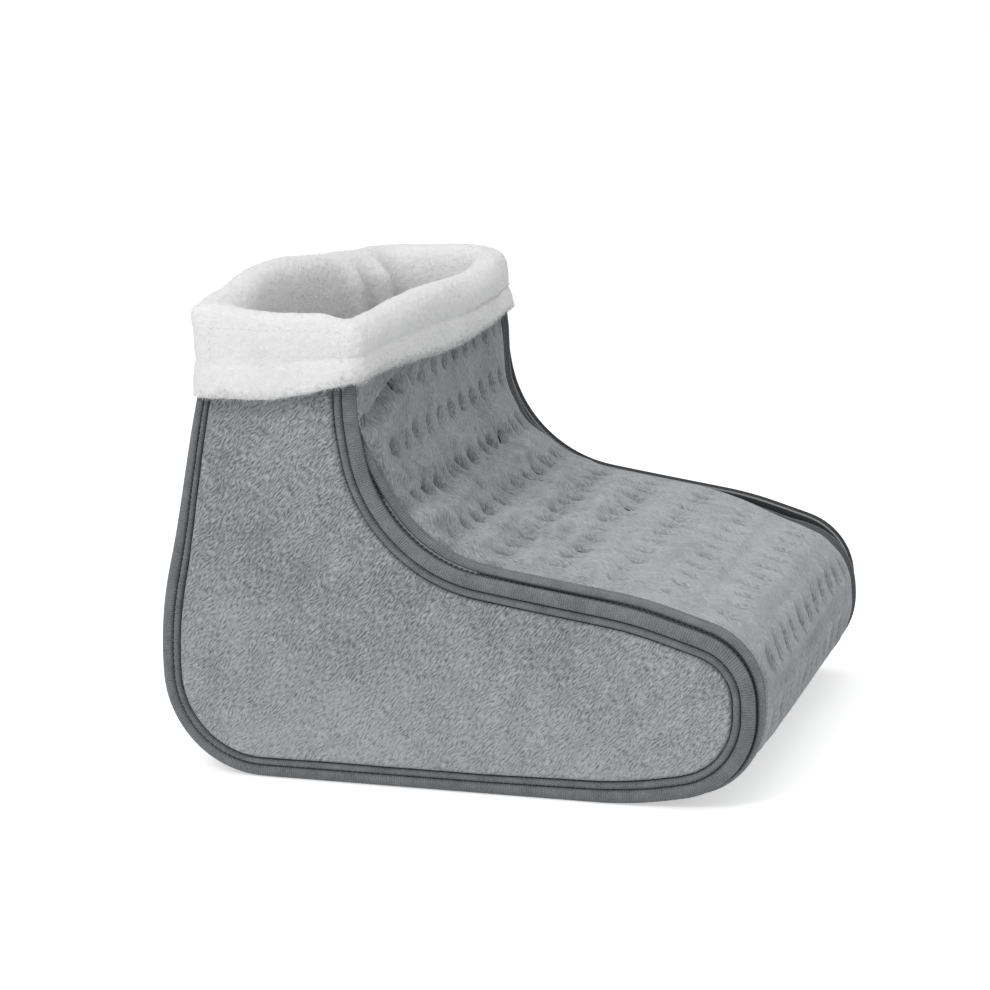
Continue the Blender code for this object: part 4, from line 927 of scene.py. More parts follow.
# %% Side tape
SIDE_TAPE_SECTION = (
    (0.0124, 0.00300), (0.0122, 0.00180), (0.0119, 0.00060), (0.0114, -0.00020), (0.0106, -0.00060),
    (0.0098, -0.00060), (0.0090, -0.00020), (0.0085, 0.00060), (0.0082, 0.00180), (0.0080, 0.00300),
    (0.0077, 0.00180), (0.0073, 0.00060), (0.0067, -0.00020), (0.0055, -0.00060), (0.0040, -0.00070),
    (0.0024, -0.00030), (0.0012, 0.00030), (0.0003, 0.00120), (-0.0002, 0.00220), (-0.0003, 0.00310),
    (0.0000, 0.00400), (0.0006, 0.00470), (0.0008, 0.00600), (0.0008, 0.00860), (0.0014, 0.00920),
    (0.0032, 0.00930), (0.0080, 0.00930), (0.0080, 0.00860), (0.0034, 0.00850), (0.0020, 0.00780),
    (0.0018, 0.00500), (0.0020, 0.00370), (0.0034, 0.00360), (0.0070, 0.00370), (0.0110, 0.00360),
)
TAPE_PLACES = (0.0, 0.42, 0.50, 0.70, 0.76, 0.80, 0.855, 0.90)
TAPE_SHARES = (0.98, 0.93, 0.80, 0.80, 0.81, 0.66, 0.56, 0.54)
TAPE_STEP = 0.0016
PUCKER_PITCH = 0.0032
PUCKER_HEIGHT = 0.0004
SEWN_DEPTH = 0.0092
SEWN_WIDTH = 0.0020
OUTER_FACE = 0.0010
HALF_WIDTH = 0.130
SIDES = (("left", 1), ("right", -1))


def even_places(start, end, step):
    """Places from start to end, about a step apart."""
    return np.linspace(start, end, max(2, round((end - start) / step) + 1))


def tape_share(along):
    """How wide the tape's face is, which the sewer trimmed as the work went round."""
    return np.interp(along, TAPE_PLACES, TAPE_SHARES)


def make_side_tape(word, side):
    """The tape round one side panel."""
    along = even_places(0, boot.length, TAPE_STEP)
    section = np.array(SIDE_TAPE_SECTION)
    depth = section[:, 0] * tape_share(along)[:, None]
    inset = np.broadcast_to(section[:, 1], depth.shape).copy()
    pulled = np.sin(along * (2 * math.pi / PUCKER_PITCH))[:, None]
    sewn = hill((section[:, 0] - SEWN_DEPTH, SEWN_WIDTH)) * (section[:, 1] < OUTER_FACE)
    inset += PUCKER_HEIGHT * pulled * sewn
    table = boot.points(along[:, None], depth, side * (HALF_WIDTH - inset))
    piece = table_piece(f"side_tape_{word}", settled(table), side_tape_knit, across_closed=True)
    return dress(piece, "shell", "ribbed_tape", f"side_binding_{word}")


side_tapes = [make_side_tape(word, side) for word, side in SIDES]
print("side tape faces:", len(side_tapes[0].data.polygons))

# %% [markdown]
# ## Tape round the strip
#
# The strip has a tape of its own. The strip is padded, so its edge stands up beside the panel's tape
# like a roll, with two rows of stitches on its inner slope and a dark valley on its outer side, where the
# tape is painted nearly black as painted shade. At the bottom of the valley one zigzag thread whips the
# two tapes together. Under the sole there is no room for the roll, so there it lies flat.

# %% Strip tape and the zigzag seam
STRIP_TAPE_SECTION = (
    (0.0010, 0.0056), (0.0000, 0.0048), (-0.0012, 0.0048), (-0.0022, 0.0055), (-0.0029, 0.0067),
    (-0.0033, 0.0082), (-0.0034, 0.0096), (-0.0031, 0.0108), (-0.0020, 0.0116), (-0.0029, 0.0125),
    (-0.0031, 0.0133), (-0.0018, 0.0141), (-0.0026, 0.0150), (-0.0026, 0.0158), (-0.0010, 0.0168),
    (0.0002, 0.0166), (-0.0006, 0.0140), (-0.0010, 0.0110), (-0.0006, 0.0080), (0.0006, 0.0068),
)
STITCH_ROWS = (0.0116, 0.0141)
STITCH_ROW_WIDTH = 0.0009
STITCHED_FACE = -0.0012
FAR_ROLL_PLACES = (0.065, 0.135, 0.225, 0.300)
SHAFT_ROLL_END = (0.050, 0.085)
ROLL_END = (0.010, 0.100)
HEEL_ROLL_END = (0.02, 0.10)
SEAM_DEPTH = 0.0003
ROLL_SINK = 0.0036
ROLL_SHIFT = 0.0046
HEEL_ROLL = 0.5
SHAFT_ROLL_SINK = 0.0034
FAR_ROLL_SINK = 0.0040
SEAM_PITCH = 0.0030
SEAM_THREAD = 0.00035
SEAM_INSET = 0.0062
SEAM_SWING = 0.0015


def roll_rise(along):
    """How far the strip's edge stands up: fully over the foot, not at all under the sole."""
    over = ramp(TOE_SEAM - along, *ROLL_END)
    behind = HEEL_ROLL * ramp(along - HEEL_SEAM, *HEEL_ROLL_END)
    return over + behind


def make_strip_tape(word, side):
    """The tape along one edge of the strip, from rim to rim."""
    along = even_places(0, boot.length, TAPE_STEP)
    section = np.array(STRIP_TAPE_SECTION)
    flat = 1 - roll_rise(along)[:, None]
    sunk = FAR_ROLL_SINK * lobe(along, *FAR_ROLL_PLACES)
    if side < 0:
        sunk = SHAFT_ROLL_SINK * (1 - ramp(along, *SHAFT_ROLL_END))
    depth = section[:, 0] + ROLL_SINK * flat + sunk[:, None] * (1 - flat)
    inset = section[:, 1] + ROLL_SHIFT * flat
    pulled = np.sin(along * (2 * math.pi / PUCKER_PITCH) + 1.0)[:, None]
    rows = sum(hill((section[:, 1] - place, STITCH_ROW_WIDTH)) for place in STITCH_ROWS)
    depth += PUCKER_HEIGHT * pulled * rows * (section[:, 0] < STITCHED_FACE)
    table = strip_points(along[:, None], depth, side * (HALF_WIDTH - inset))
    piece = table_piece(f"strip_tape_{word}", settled(table), strip_tape_knits[word], across_closed=True)
    return dress(piece, "shell", "ribbed_tape", f"gusset_binding_{word}")


def make_seam(word, side):
    """The zigzag thread between the two tapes."""
    count = round(boot.length / SEAM_PITCH)
    along = (np.arange(2 * count) + 0.5) * SEAM_PITCH / 2
    swing = np.where(np.arange(2 * count) % 2 == 0, 1.0, -1.0)
    table = boot.points(along, SEAM_DEPTH, side * (HALF_WIDTH - SEAM_INSET + SEAM_SWING * swing))
    tube = tube_table(settled(table), SEAM_THREAD, 5)
    piece = table_piece(f"seam_thread_{word}", tube, seam_thread, across_closed=True)
    return dress(piece, "shell", "ribbed_tape")


strip_tapes = [make_strip_tape(word, side) for word, side in SIDES]
seams = [make_seam(word, side) for word, side in SIDES]
print("strip tapes:", len(strip_tapes), "seam threads:", len(seams))
print("zigzag stitches on each side:", round(boot.length / SEAM_PITCH))

# %% [markdown]
# ## The padded side panels
#
# Each panel is flannel over thin foam. It is flat, with a soft roll where the tape holds it down. Its
# net of points starts with rings that follow the tape closely, so that the roll is even, and goes on
# with rings that shrink towards the middle. The map of the flat cloth stays square, so the grain does.

# %% Side panels
PANEL_HELD = 0.0125
PANEL_RINGS = (0.0, 0.0005, 0.0010, 0.0016, 0.0023, 0.0032, 0.0044, 0.0060, 0.0080, 0.0104)
PANEL_ROLL = 0.0026
PANEL_LOW = 0.0040
PANEL_RISE = 0.0047
PANEL_THICKNESS = 0.0024
PANEL_MIDDLE = (-0.085, 0.060)
PANEL_SHRINK_RINGS = 30
PANEL_STEP = 0.0022
PANEL_TOP_POINTS = 34
WIDE_WAVE = (0.045, 0.0007)
FINE_WAVE = (0.019, 0.00025)


def panel_net():
    """Rings of places in the panel's plane, and how far inside the tape's edge each lies."""
    rings = []
    for gap in PANEL_RINGS:
        along = even_places(gap, boot.length - gap, PANEL_STEP)
        line = boot.points(along, PANEL_HELD * tape_share(along) + gap, 0.0)[:, [0, 2]]
        across = np.linspace(0, 1, PANEL_TOP_POINTS)[1:-1, None]
        rings.append(np.concatenate((line, line[-1] + (line[0] - line[-1]) * across)))
    count = min(len(ring) for ring in rings)
    rings = [ring[np.linspace(0, len(ring) - 1, count).round().astype(int)] for ring in rings]
    inside = [np.full(count, gap) for gap in PANEL_RINGS]
    last = rings[-1]
    for way in np.linspace(0, 1, PANEL_SHRINK_RINGS + 1)[1:]:
        rings.append(last + (np.array(PANEL_MIDDLE) - last) * way)
        inside.append(np.full(count, 1.0))
    return np.stack(rings), np.stack(inside)


net, net_inside = panel_net()


def make_panel(word, side):
    """One padded side panel."""
    roll = np.sqrt(np.clip(1 - (1 - share(net_inside, 0, PANEL_ROLL)) ** 2, 0, 1))
    table = np.stack((net[..., 0], np.full(net.shape[:2], side * HALF_WIDTH), net[..., 1]), axis=-1)
    wave = wobble(table, WIDE_WAVE[0], 31 + side) * WIDE_WAVE[1]
    wave += wobble(table, FINE_WAVE[0], 41 + side) * FINE_WAVE[1]
    table[..., 1] = side * (HALF_WIDTH - PANEL_LOW + (PANEL_RISE + wave) * roll)
    piece = table_piece(f"padded_side_{word}", table, panel_flannel, across_closed=True, ends=False)
    merge_points(facing(piece, (0, side, 0)))
    flat = np.array([vertex.co for vertex in piece.data.vertices])
    lay_flat(piece, np.stack((flat[:, 0] * -side, flat[:, 2]), axis=-1))
    move_points(piece, settled(flat))
    thicken(piece, PANEL_THICKNESS)
    dress(piece, "shell", "flannel", f"side_face_{word}")
    return piece


panels = [make_panel(word, side) for word, side in SIDES]
print(len(panels), "panels, each a net of", net.shape[0], "rings of", net.shape[1], "points")

# %% [markdown]
# ## Letting cloth relax
#
# Padded cloth gets its wrinkles from having more cloth than room. The simulation is told the size of
# the flat cut, a little larger than the place it fills, and a soft pressure stands for the wadding.
# The points that a seam or a tack holds stay where they are. After sixteen steps the shape is kept
# and the simulation goes, and no point may move further than its limit.

# %% Cloth simulation
RELAX_STEPS = 16
CLOTH_SETTINGS = {
    "quality": 6,
    "mass": 0.05,
    "tension_stiffness": 12,
    "compression_stiffness": 12,
    "shear_stiffness": 5,
    "bending_stiffness": 0.02,
    "air_damping": 2,
    "vertex_group_mass": "held",
    "use_pressure": True,
}


def relax(piece, held, flat, pressure, limit):
    """Let a sheet settle towards the size of its flat cut, with some points held."""
    start = np.array([vertex.co for vertex in piece.data.vertices])
    group = piece.vertex_groups.new(name="held")
    group.add(held.tolist(), 1.0, "REPLACE")
    piece.shape_key_add(name="Basis")
    pattern = piece.shape_key_add(name="flat_cut")
    pattern.data.foreach_set("co", flat.astype(np.float32).ravel())
    cloth = piece.modifiers.new("cloth", "CLOTH")
    settings = cloth.settings
    for name, value in CLOTH_SETTINGS.items():
        setattr(settings, name, value)
    settings.rest_shape_key = pattern
    settings.uniform_pressure_force = pressure
    settings.effector_weights.gravity = 0
    cloth.collision_settings.use_collision = False
    cloth.point_cache.frame_start = 1
    cloth.point_cache.frame_end = RELAX_STEPS
    scene = bpy.context.scene
    for step in range(1, RELAX_STEPS + 1):
        scene.frame_set(step)
    graph = bpy.context.evaluated_depsgraph_get()
    ended = np.array([vertex.co for vertex in piece.evaluated_get(graph).data.vertices])
    piece.modifiers.remove(cloth)
    piece.shape_key_clear()
    piece.vertex_groups.clear()
    scene.frame_set(1)
    way = ended - start
    size = np.linalg.norm(way, axis=1)
    way *= np.minimum(1, limit / np.maximum(size, 1e-9))[:, None]
    move_points(piece, start + way)
    moved, most = np.round(size.mean() * 1000, 2), np.round(size.max() * 1000, 2)
    print(piece.name, "moved by", moved, "mm, at most", most)
    return piece


def rest_on_floor(piece, height):
    """Flatten a piece where it would hang below this height."""
    points = np.array([vertex.co for vertex in piece.data.vertices])
    points[:, 2] = np.maximum(points[:, 2], height)
    move_points(piece, points)


print("cloth simulation ready")

# %% [markdown]
# ## The quilted strip
#
# This is the boot's main feature: flannel over wadding with the heating wire under it, held down by
# rows of short tacks. Between the tacks the wadding lifts the cloth, and on the inside of the bend at
# the instep there is more cloth than room, so it buckles into wrinkles.

# %% The quilt's net and its tacks
LAST_TACK_MARGIN = 0.018
QUILT_HALF = 0.1160
QUILT_CLEAR = 0.1138
QUILT_LOW = 0.0015
QUILT_LIFT = 0.0031
QUILT_CROWN = 0.0024
TACK_DEPTH = 0.0042
SLIT_DEPTH = 0.0010
EDGE_TUCK = 0.0016
COVER_REACH = 0.0115
COVER_TUCK = 0.0020
PLEAT_HEIGHT = 0.0050
PLEAT_WIDTH = 0.0055
CRUMPLE_HEIGHT = 0.0022
COLUMNS_PER_TACK = 12
ROWS_PER_TACK = 20
QUILT_THICKNESS = 0.0014
QUILT_GROWTH = (1.06, 1.04)
BEND_GROWTH = 0.08
QUILT_PRESSURE = 20.0
QUILT_LIMIT = 0.006
QUILT_FLOOR = 0.0003
BEND_LENGTH = 0.13
BEND_PLACES = (0.060, 0.100, 0.165, 0.260)
DIMPLE_SIZE = (0.0034, 0.0032)
SLIT_SIZE = (0.0022, 0.0015)
ROW_PULL = (0.24, 0.0065)
COLUMN_PULL = (0.14, 0.0038)
TACKED_WIDTHS = (0.100, 0.106)
TUCK_START = 0.1105
COVER_TUCK_START = 0.1080
EDGE_WIDTHS = (0.105, 0.112)
COVER_EDGE_SHIFTS = (0.006, 0.004)
FAR_CALM = 0.8
FAR_CALM_WIDTHS = (0.070, 0.104)
COVER_HEIGHTS = (0.044, 0.074)
EDGE_FOLDS = (
    (0.042, -0.098, 0.013, 0.0052, -2.3, -0.0060),
    (0.052, -0.097, 0.014, 0.0060, -2.1, 0.0022),
    (0.044, -0.062, 0.024, 0.0060, -0.9, 0.0022),
    (0.046, -0.046, 0.022, 0.0050, -0.8, -0.0016),
    (0.044, -0.020, 0.024, 0.0070, -0.7, 0.0014),
    (0.050, 0.090, 0.028, 0.0050, 0.6, 0.0016),
)

tack_rows = np.arange(FIRST_TACK_ROW, TOE_SEAM - LAST_TACK_MARGIN + 1e-6, TACK_ROW_PITCH)
tack_columns = (np.arange(TACK_COLUMNS) - (TACK_COLUMNS - 1) / 2) * TACK_PITCH
print("tacks:", len(tack_rows), "rows of", len(tack_columns))


def quilt_crown(along, across):
    """How far the wadding lifts the cloth, without the tacks."""
    fade = ramp(along, 0.0, 0.03) * ramp(TOE_SEAM - along, 0.0, 0.02)
    lift = QUILT_LIFT * ramp(TOE_SEAM - along, 0.010, 0.100)
    return lift + QUILT_CROWN * (1 - np.clip(np.abs(across) / QUILT_CLEAR, 0, 1) ** 8) * fade


def pleats(along, across):
    """Soft pleats between the rows of tacks, where the strip bends at the instep."""
    flat = np.stack((along, across, 0 * along), axis=-1)
    bend = lobe(along, *BEND_PLACES)
    middle = tack_rows[:-1] + TACK_ROW_PITCH / 2
    shifted = along + 0.0045 * wobble(flat * (0.2, 1, 1), 0.060, 201)
    near = np.min(np.abs(shifted[..., None] - middle), axis=-1)
    strength = np.clip(0.75 + 0.6 * wobble(flat, 0.050, 203), 0, 1.3)
    crumple = wobble(flat * (1.0, 0.6, 1), 0.016, 205) + 0.6 * wobble(flat * (1.0, 0.8, 1), 0.0095, 207)
    return bend * (PLEAT_HEIGHT * strength * hill((near, PLEAT_WIDTH)) + CRUMPLE_HEIGHT * crumple)


def edge_folds(along, across):
    """Long folds under the cuff, where the strip hangs from the rim."""
    total = 0 * along
    for centre, place, length, width, slant, height in EDGE_FOLDS:
        away = (across - place - slant * (along - centre)) / math.hypot(1, slant)
        total = total + height * np.exp(-((along - centre) / length) ** 4 - (away / width) ** 2)
    return total


def covering(along, across):
    """How much the quilt laps over the right strip tape, which it does below the cuff."""
    return (across < 0) * (1 - ramp(along, *COVER_HEIGHTS))


def quilt_depth(along, across):
    """How deep the quilted face lies under the outline."""
    near_row = np.min(np.abs(along[..., None] - tack_rows), axis=-1)
    near_column = np.min(np.abs(across[..., None] - tack_columns), axis=-1)
    reach = np.maximum(near_row - TACK_LENGTH / 2, 0)
    dimple = hill((reach, DIMPLE_SIZE[0]), (near_column, DIMPLE_SIZE[1]))
    row_pull = ROW_PULL[0] * hill((near_row, ROW_PULL[1]))
    column_pull = COLUMN_PULL[0] * hill((near_column, COLUMN_PULL[1]))
    dent = TACK_DEPTH * np.clip(dimple + row_pull + column_pull, 0, 1)
    dent += SLIT_DEPTH * hill((reach, SLIT_SIZE[0]), (near_column, SLIT_SIZE[1]))
    dent = dent * (1 - ramp(np.abs(across), *TACKED_WIDTHS))
    cover = covering(along, across)
    tuck = EDGE_TUCK * ramp(np.abs(across), TUCK_START, QUILT_CLEAR) * (1 - cover)
    tuck = tuck + COVER_TUCK * ramp(np.abs(across), COVER_TUCK_START, QUILT_HALF) * cover
    edge_start, edge_end = (w + s * cover for w, s in zip(EDGE_WIDTHS, COVER_EDGE_SHIFTS))
    edge = ramp(np.abs(across), edge_start, edge_end)
    edge = np.maximum(edge, FAR_CALM * ramp(across, *FAR_CALM_WIDTHS))
    raised = (pleats(along, across) + edge_folds(along, across)) * (1 - edge)
    return QUILT_LOW - quilt_crown(along, across) - raised + dent + tuck


def quilt_rows():
    """Places along the strip, so that rows fall on both ends of every tack."""
    step = TACK_ROW_PITCH / ROWS_PER_TACK
    before = round(FIRST_TACK_ROW / step)
    after = round((TOE_SEAM - tack_rows[-1]) / step)
    head = np.linspace(0, FIRST_TACK_ROW, before + 1)[:-1]
    body = np.linspace(tack_rows[0], tack_rows[-1], (len(tack_rows) - 1) * ROWS_PER_TACK + 1)
    return np.concatenate((head, body, np.linspace(tack_rows[-1], TOE_SEAM, after + 1)[1:]))


def make_quilt():
    """The quilted cover of the instep and the toe."""
    step = TACK_PITCH / COLUMNS_PER_TACK
    half_count = round(QUILT_HALF / step)
    columns = np.arange(-half_count, half_count + 1) * step
    rows = quilt_rows()
    along, across = grid(rows, columns)
    lap = COVER_REACH * ramp(np.abs(across), 0.100, QUILT_HALF) * covering(along, across)
    table = settled(strip_points(along, quilt_depth(along, across), across + np.sign(across) * lap))
    piece = table_piece("quilted_cover", table, strip_flannel)
    near_row = np.min(np.abs(along[..., None] - tack_rows), axis=-1)
    near_column = np.min(np.abs(across[..., None] - tack_columns), axis=-1)
    tacked = (near_row < TACK_LENGTH / 2 + 1e-6) & (near_column < step / 2)
    sewn = (np.abs(across) > QUILT_CLEAR - 0.001) | (along < 0.012) | (along > TOE_SEAM - 0.004)
    grown = rows * QUILT_GROWTH[0] + BEND_GROWTH * BEND_LENGTH * ramp(rows, 0.05, 0.18)
    flat = np.stack((*grid(grown, columns * QUILT_GROWTH[1]), np.zeros_like(along)), axis=-1)
    held = np.flatnonzero((tacked | sewn).ravel())
    relax(piece, held, flat.reshape(-1, 3), QUILT_PRESSURE, QUILT_LIMIT)
    lay_flat(piece, np.stack((along, across), axis=-1).reshape(-1, 2))
    rest_on_floor(piece, QUILT_FLOOR)
    thicken(piece, QUILT_THICKNESS)
    dress(piece, "shell", "flannel", "quilted_upper")
    return piece


quilt = make_quilt()
print("quilt squares:", len(quilt.data.polygons))

# %% [markdown]
# Each tack is a few stitches on top of each other: a short bar of thread at the bottom of its dimple.
# Each bar is laid on the finished cloth, wherever that has come to lie.

# %% Tack threads
TACK_THREAD = 0.00062
TACK_SHOWN = 0.0052


def threads_on(piece, lines, radius, finish, sunk=0.0):
    """Bars of thread that follow these lines along the surface of a finished piece."""
    graph = bpy.context.evaluated_depsgraph_get()
    surface = piece.evaluated_get(graph)
    bars = []
    for line in lines:
        laid = []
        for point in line:
            _, place, normal, _ = surface.closest_point_on_mesh(Vector(point))
            laid.append(tuple(place - normal * sunk))
        laid = np.array(laid)
        thickness = np.minimum(1, 0.35 + 1.3 * np.sin(np.linspace(0, math.pi, len(laid))))[:, None, None]
        rings = laid[:, None] + (tube_table(laid, radius, 6) - laid[:, None]) * thickness
        bars.append(table_piece("thread", rings, finish, across_closed=True))
    return joined(piece.name + "_threads", bars)


def tack_lines():
    """Where every tack lies, a little above the quilt."""
    lines = []
    for row in tack_rows:
        for column in tack_columns:
            along = row + np.linspace(-0.5, 0.5, 7) * TACK_SHOWN
            depth = quilt_depth(along, np.full(7, column)) - 0.001
            lines.append(settled(strip_points(along, depth, column)))
    return lines


tack_threads = threads_on(quilt, tack_lines(), TACK_THREAD, tack_thread, sunk=-0.0001)
dress(tack_threads, "shell", "flannel")
print("tack threads:", len(tack_rows) * len(tack_columns))

# %% [markdown]
# ## Heel, sole and rim
#
# The heel is a plain cut of the same flannel with a hole for the inlet. The sole is non-slip cloth that
# turns up a little at its edges. The rim is closed by a tape that the cuff hides.

# %% Heel panel and sole
INLET_HALF_WIDTH = 0.0185
INLET_LOW = 0.0475
INLET_HIGH = 0.0725
HEEL_STEP = 0.003
HEEL_THICKNESS = 0.0022
SOLE_STEP = 0.004
SOLE_THICKNESS = 0.0009
SOLE_TURN_UP = 0.0030
SOLE_TURN_WIDTHS = (0.1065, 0.1125)
STRIP_HALF = 0.1186


def make_heel():
    """The flannel up the heel, open at the inlet."""
    along = even_places(HEEL_SEAM, boot.length, HEEL_STEP)
    along, across = grid(along, even_places(-STRIP_HALF, STRIP_HALF, HEEL_STEP))
    roll = ramp(0.1115 - np.abs(across), 0.0, 0.010)
    table = strip_points(along, 0.0026 - (0.0006 + 0.0014 * roll_rise(along)) * roll, across)
    ease = roll * ramp(np.hypot(table[..., 1] / 0.045, (table[..., 2] - 0.06) / 0.035), 0.9, 1.3)
    ease *= ramp(table[..., 2], 0.01, 0.05)
    table[..., 0] -= (0.0012 + 0.0009 * wobble(table, 0.050, 61)) * ease
    high = (table[..., 2] > INLET_LOW) & (table[..., 2] < INLET_HIGH)
    hole = high & (np.abs(table[..., 1]) < INLET_HALF_WIDTH)
    piece = table_piece("heel_cover", settled(table), heel_flannel)
    bm = bmesh.new()
    bm.from_mesh(piece.data)
    bm.verts.ensure_lookup_table()
    bmesh.ops.delete(bm, geom=[bm.verts[i] for i in np.flatnonzero(hole)], context="VERTS")
    bm.to_mesh(piece.data)
    bm.free()
    rest_on_floor(piece, 0.0)
    smoother(thicken(piece, HEEL_THICKNESS))
    return dress(piece, "shell", "flannel", "heel_panel")


def make_sole():
    """The non-slip cloth under the boot."""
    lengths = even_places(sole_low.x, sole_high.x, SOLE_STEP)
    x, y = grid(lengths, even_places(-STRIP_HALF, STRIP_HALF, SOLE_STEP))
    z = SOLE_TURN_UP * ramp(np.abs(y), *SOLE_TURN_WIDTHS)
    piece = table_piece("sole_cover", np.stack((x, y, z), axis=-1), grip_cloth)
    smoother(thicken(facing(piece, (0, 0, -1)), SOLE_THICKNESS))
    return dress(piece, "shell", "grip_cloth", "sole_cloth")


heel = make_heel()
sole = make_sole()
print("heel squares:", len(heel.data.polygons), "sole squares:", len(sole.data.polygons))

# %% [markdown]
# The cuff and the rim tape run round the mouth, so they need rings: a rounded rectangle at each
# height, pushed out or in. All rings have the same number of points, spaced alike, so that a section
# can be carried round as it was along the outline.

# %% Rings round the mouth
BACK_LEAN = 0.2532
STRAIGHT_STEP = 0.003
CORNER_POINTS = 12


def mouth_ring(z, grow_end, grow_side, radii, lean=1.0):
    """A level ring round the shaft, grown by these distances, with four rounded corners."""
    front = RIM_FRONT + grow_end
    back = RIM_BACK - (RIM_HEIGHT - z) * BACK_LEAN * lean - grow_end * math.hypot(1, BACK_LEAN)
    half = HALF_WIDTH + grow_side
    places = ((front, half), (back, half), (back, -half), (front, -half))
    arcs = []
    for quarter, ((x, y), radius) in enumerate(zip(places, radii)):
        centre = np.array([x - math.copysign(radius, x - (front + back) / 2), y - math.copysign(radius, y)])
        angles = math.pi / 2 * (quarter + np.linspace(0, 1, CORNER_POINTS))
        arcs.append(centre + radius * np.stack((np.cos(angles), np.sin(angles)), axis=-1))
    ring = []
    for arc, following in zip(arcs, arcs[1:] + arcs[:1]):
        ring.append(arc)
        span = HALF_WIDTH * 2 if abs(following[0][1] - arc[-1][1]) > 0.1 else RIM_FRONT - RIM_BACK
        count = round(span / STRAIGHT_STEP)
        steps = np.linspace(0, 1, count + 1)[1:-1, None]
        ring.append(arc[-1] + (following[0] - arc[-1]) * steps)
    ring = np.concatenate(ring)
    return np.concatenate((ring, np.full((len(ring), 1), z)), axis=1)


RIM_TAPE_RINGS = (
    (0.2290, 0.0010), (0.2350, 0.0012), (0.2388, 0.0010), (0.2398, 0.0004), (0.2400, -0.0010),
    (0.2400, -0.0080), (0.2396, -0.0098), (0.2380, -0.0104), (0.2290, -0.0104),
    (0.2290, -0.0098), (0.2375, -0.0097), (0.2393, -0.0080), (0.2393, -0.0010), (0.2375, 0.0003),
    (0.2290, 0.0003),
)


def make_rim_tape():
    """The tape over the rim."""
    rings = []
    for z, grow in RIM_TAPE_RINGS:
        side = grow if grow > -0.005 else grow + 0.0003
        rings.append(mouth_ring(z, grow, side, (0.0004,) * 4))
    table = np.stack(rings, axis=1)
    piece = table_piece("rim_tape", settled(table), rim_tape_knit, along_closed=True, across_closed=True)
    return dress(piece, "shell", "ribbed_tape", "rim_binding")


rim_tape = make_rim_tape()
print("rim tape squares:", len(rim_tape.data.polygons))

# %% [markdown]
# ## The fleece cuff
#
# The liner's top is folded outwards over the rim and hangs down as a cuff, and its end is turned up
# once more into a plump hem. It is one cloth, so it is one piece: a closed section that climbs inside
# the shaft, rolls over the rim, comes down outside, dips at the hem's stitches and rounds the hem.

# %% Cuff
CUFF_SECTION = (
    (0.2062, 0.0040, 0.0060), (0.2054, 0.0050, 0.0072), (0.2054, 0.0063, 0.0086),
    (0.2064, 0.0074, 0.0098), (0.2085, 0.0081, 0.0105), (0.2120, 0.0084, 0.0108),
    (0.2160, 0.0083, 0.0107), (0.2192, 0.0081, 0.0104), (0.2214, 0.0077, 0.0100),
    (0.2230, 0.0072, 0.0095), (0.2240, 0.0070, 0.0092), (0.2250, 0.0072, 0.0095),
    (0.2266, 0.0077, 0.0100), (0.2292, 0.0080, 0.0104), (0.2325, 0.0081, 0.0105),
    (0.2357, 0.0079, 0.0103), (0.2386, 0.0072, 0.0095), (0.2410, 0.0061, 0.0083),
    (0.2430, 0.0047, 0.0068), (0.2445, 0.0031, 0.0050), (0.2455, 0.0013, 0.0028),
    (0.2460, -0.0008, 0.0004), (0.2458, -0.0032, -0.0024), (0.2448, -0.0056, -0.0052),
    (0.2430, -0.0080, -0.0078), (0.2406, -0.0101, -0.0100), (0.2376, -0.0118, -0.0117),
    (0.2338, -0.0132, -0.0130), (0.2290, -0.0142, -0.0140), (0.2230, -0.0148, -0.0146),
    (0.2160, -0.0151, -0.0148), (0.2110, -0.0151, -0.0148), (0.2060, -0.0151, -0.0148),
    (0.2010, -0.0151, -0.0148), (0.1960, -0.0151, -0.0148), (0.1905, -0.0150, -0.0147),
    (0.1900, -0.0130, -0.0128), (0.1905, -0.0113, -0.0110), (0.2050, -0.0112, -0.0109),
    (0.2200, -0.0112, -0.0109), (0.2330, -0.0106, -0.0104), (0.2385, -0.0090, -0.0085),
    (0.2400, -0.0030, -0.0030), (0.2396, 0.0010, 0.0030), (0.2370, 0.0018, 0.0038),
    (0.2290, 0.0018, 0.0038), (0.2180, 0.0018, 0.0038), (0.2080, 0.0019, 0.0040),
)
GROWTHS = (-0.0152, -0.0040, 0.0018, 0.0085)
CORNER_RADII = (
    (0.012, 0.026, 0.010, 0.020),
    (0.016, 0.018, 0.012, 0.020),
    (0.007, 0.010, 0.006, 0.014),
    (0.006, 0.008, 0.004, 0.009),
)
HANG_LEAN = 0.2
CORNER_LIFT = 0.0105
FAR_CORNER_LIFT = 0.0034
CREASE_HEIGHT = 0.0088
NEAR_CREST_LIFT = 0.0036
BACK_CREST_LIFT = 0.0024
FAR_CREST_LIFT = 0.0050
CORNER_SWELL = 0.0048
PATCH_ENDS = (-0.1170, -0.0495)
PATCH_HEIGHTS = (0.2262, 0.2428)
PATCH_PRESS = 0.0009
HANG_START = -0.009
CREST_START = 0.2425
CREASE_SWELLS = ((0.6, 0.054, 0.0080), (1.0, 0.084, 0.0090))
CUFF_LUMP_SEED = 70
CUFF_LUMPS = (0.0004, 0.034)
STITCH_PITCH = 0.0040
STITCH_LENGTH = 0.0027
STITCH_THREAD = 0.00032
TUFT_SIZE = 0.0030
TUFT_HEIGHT = 0.0007


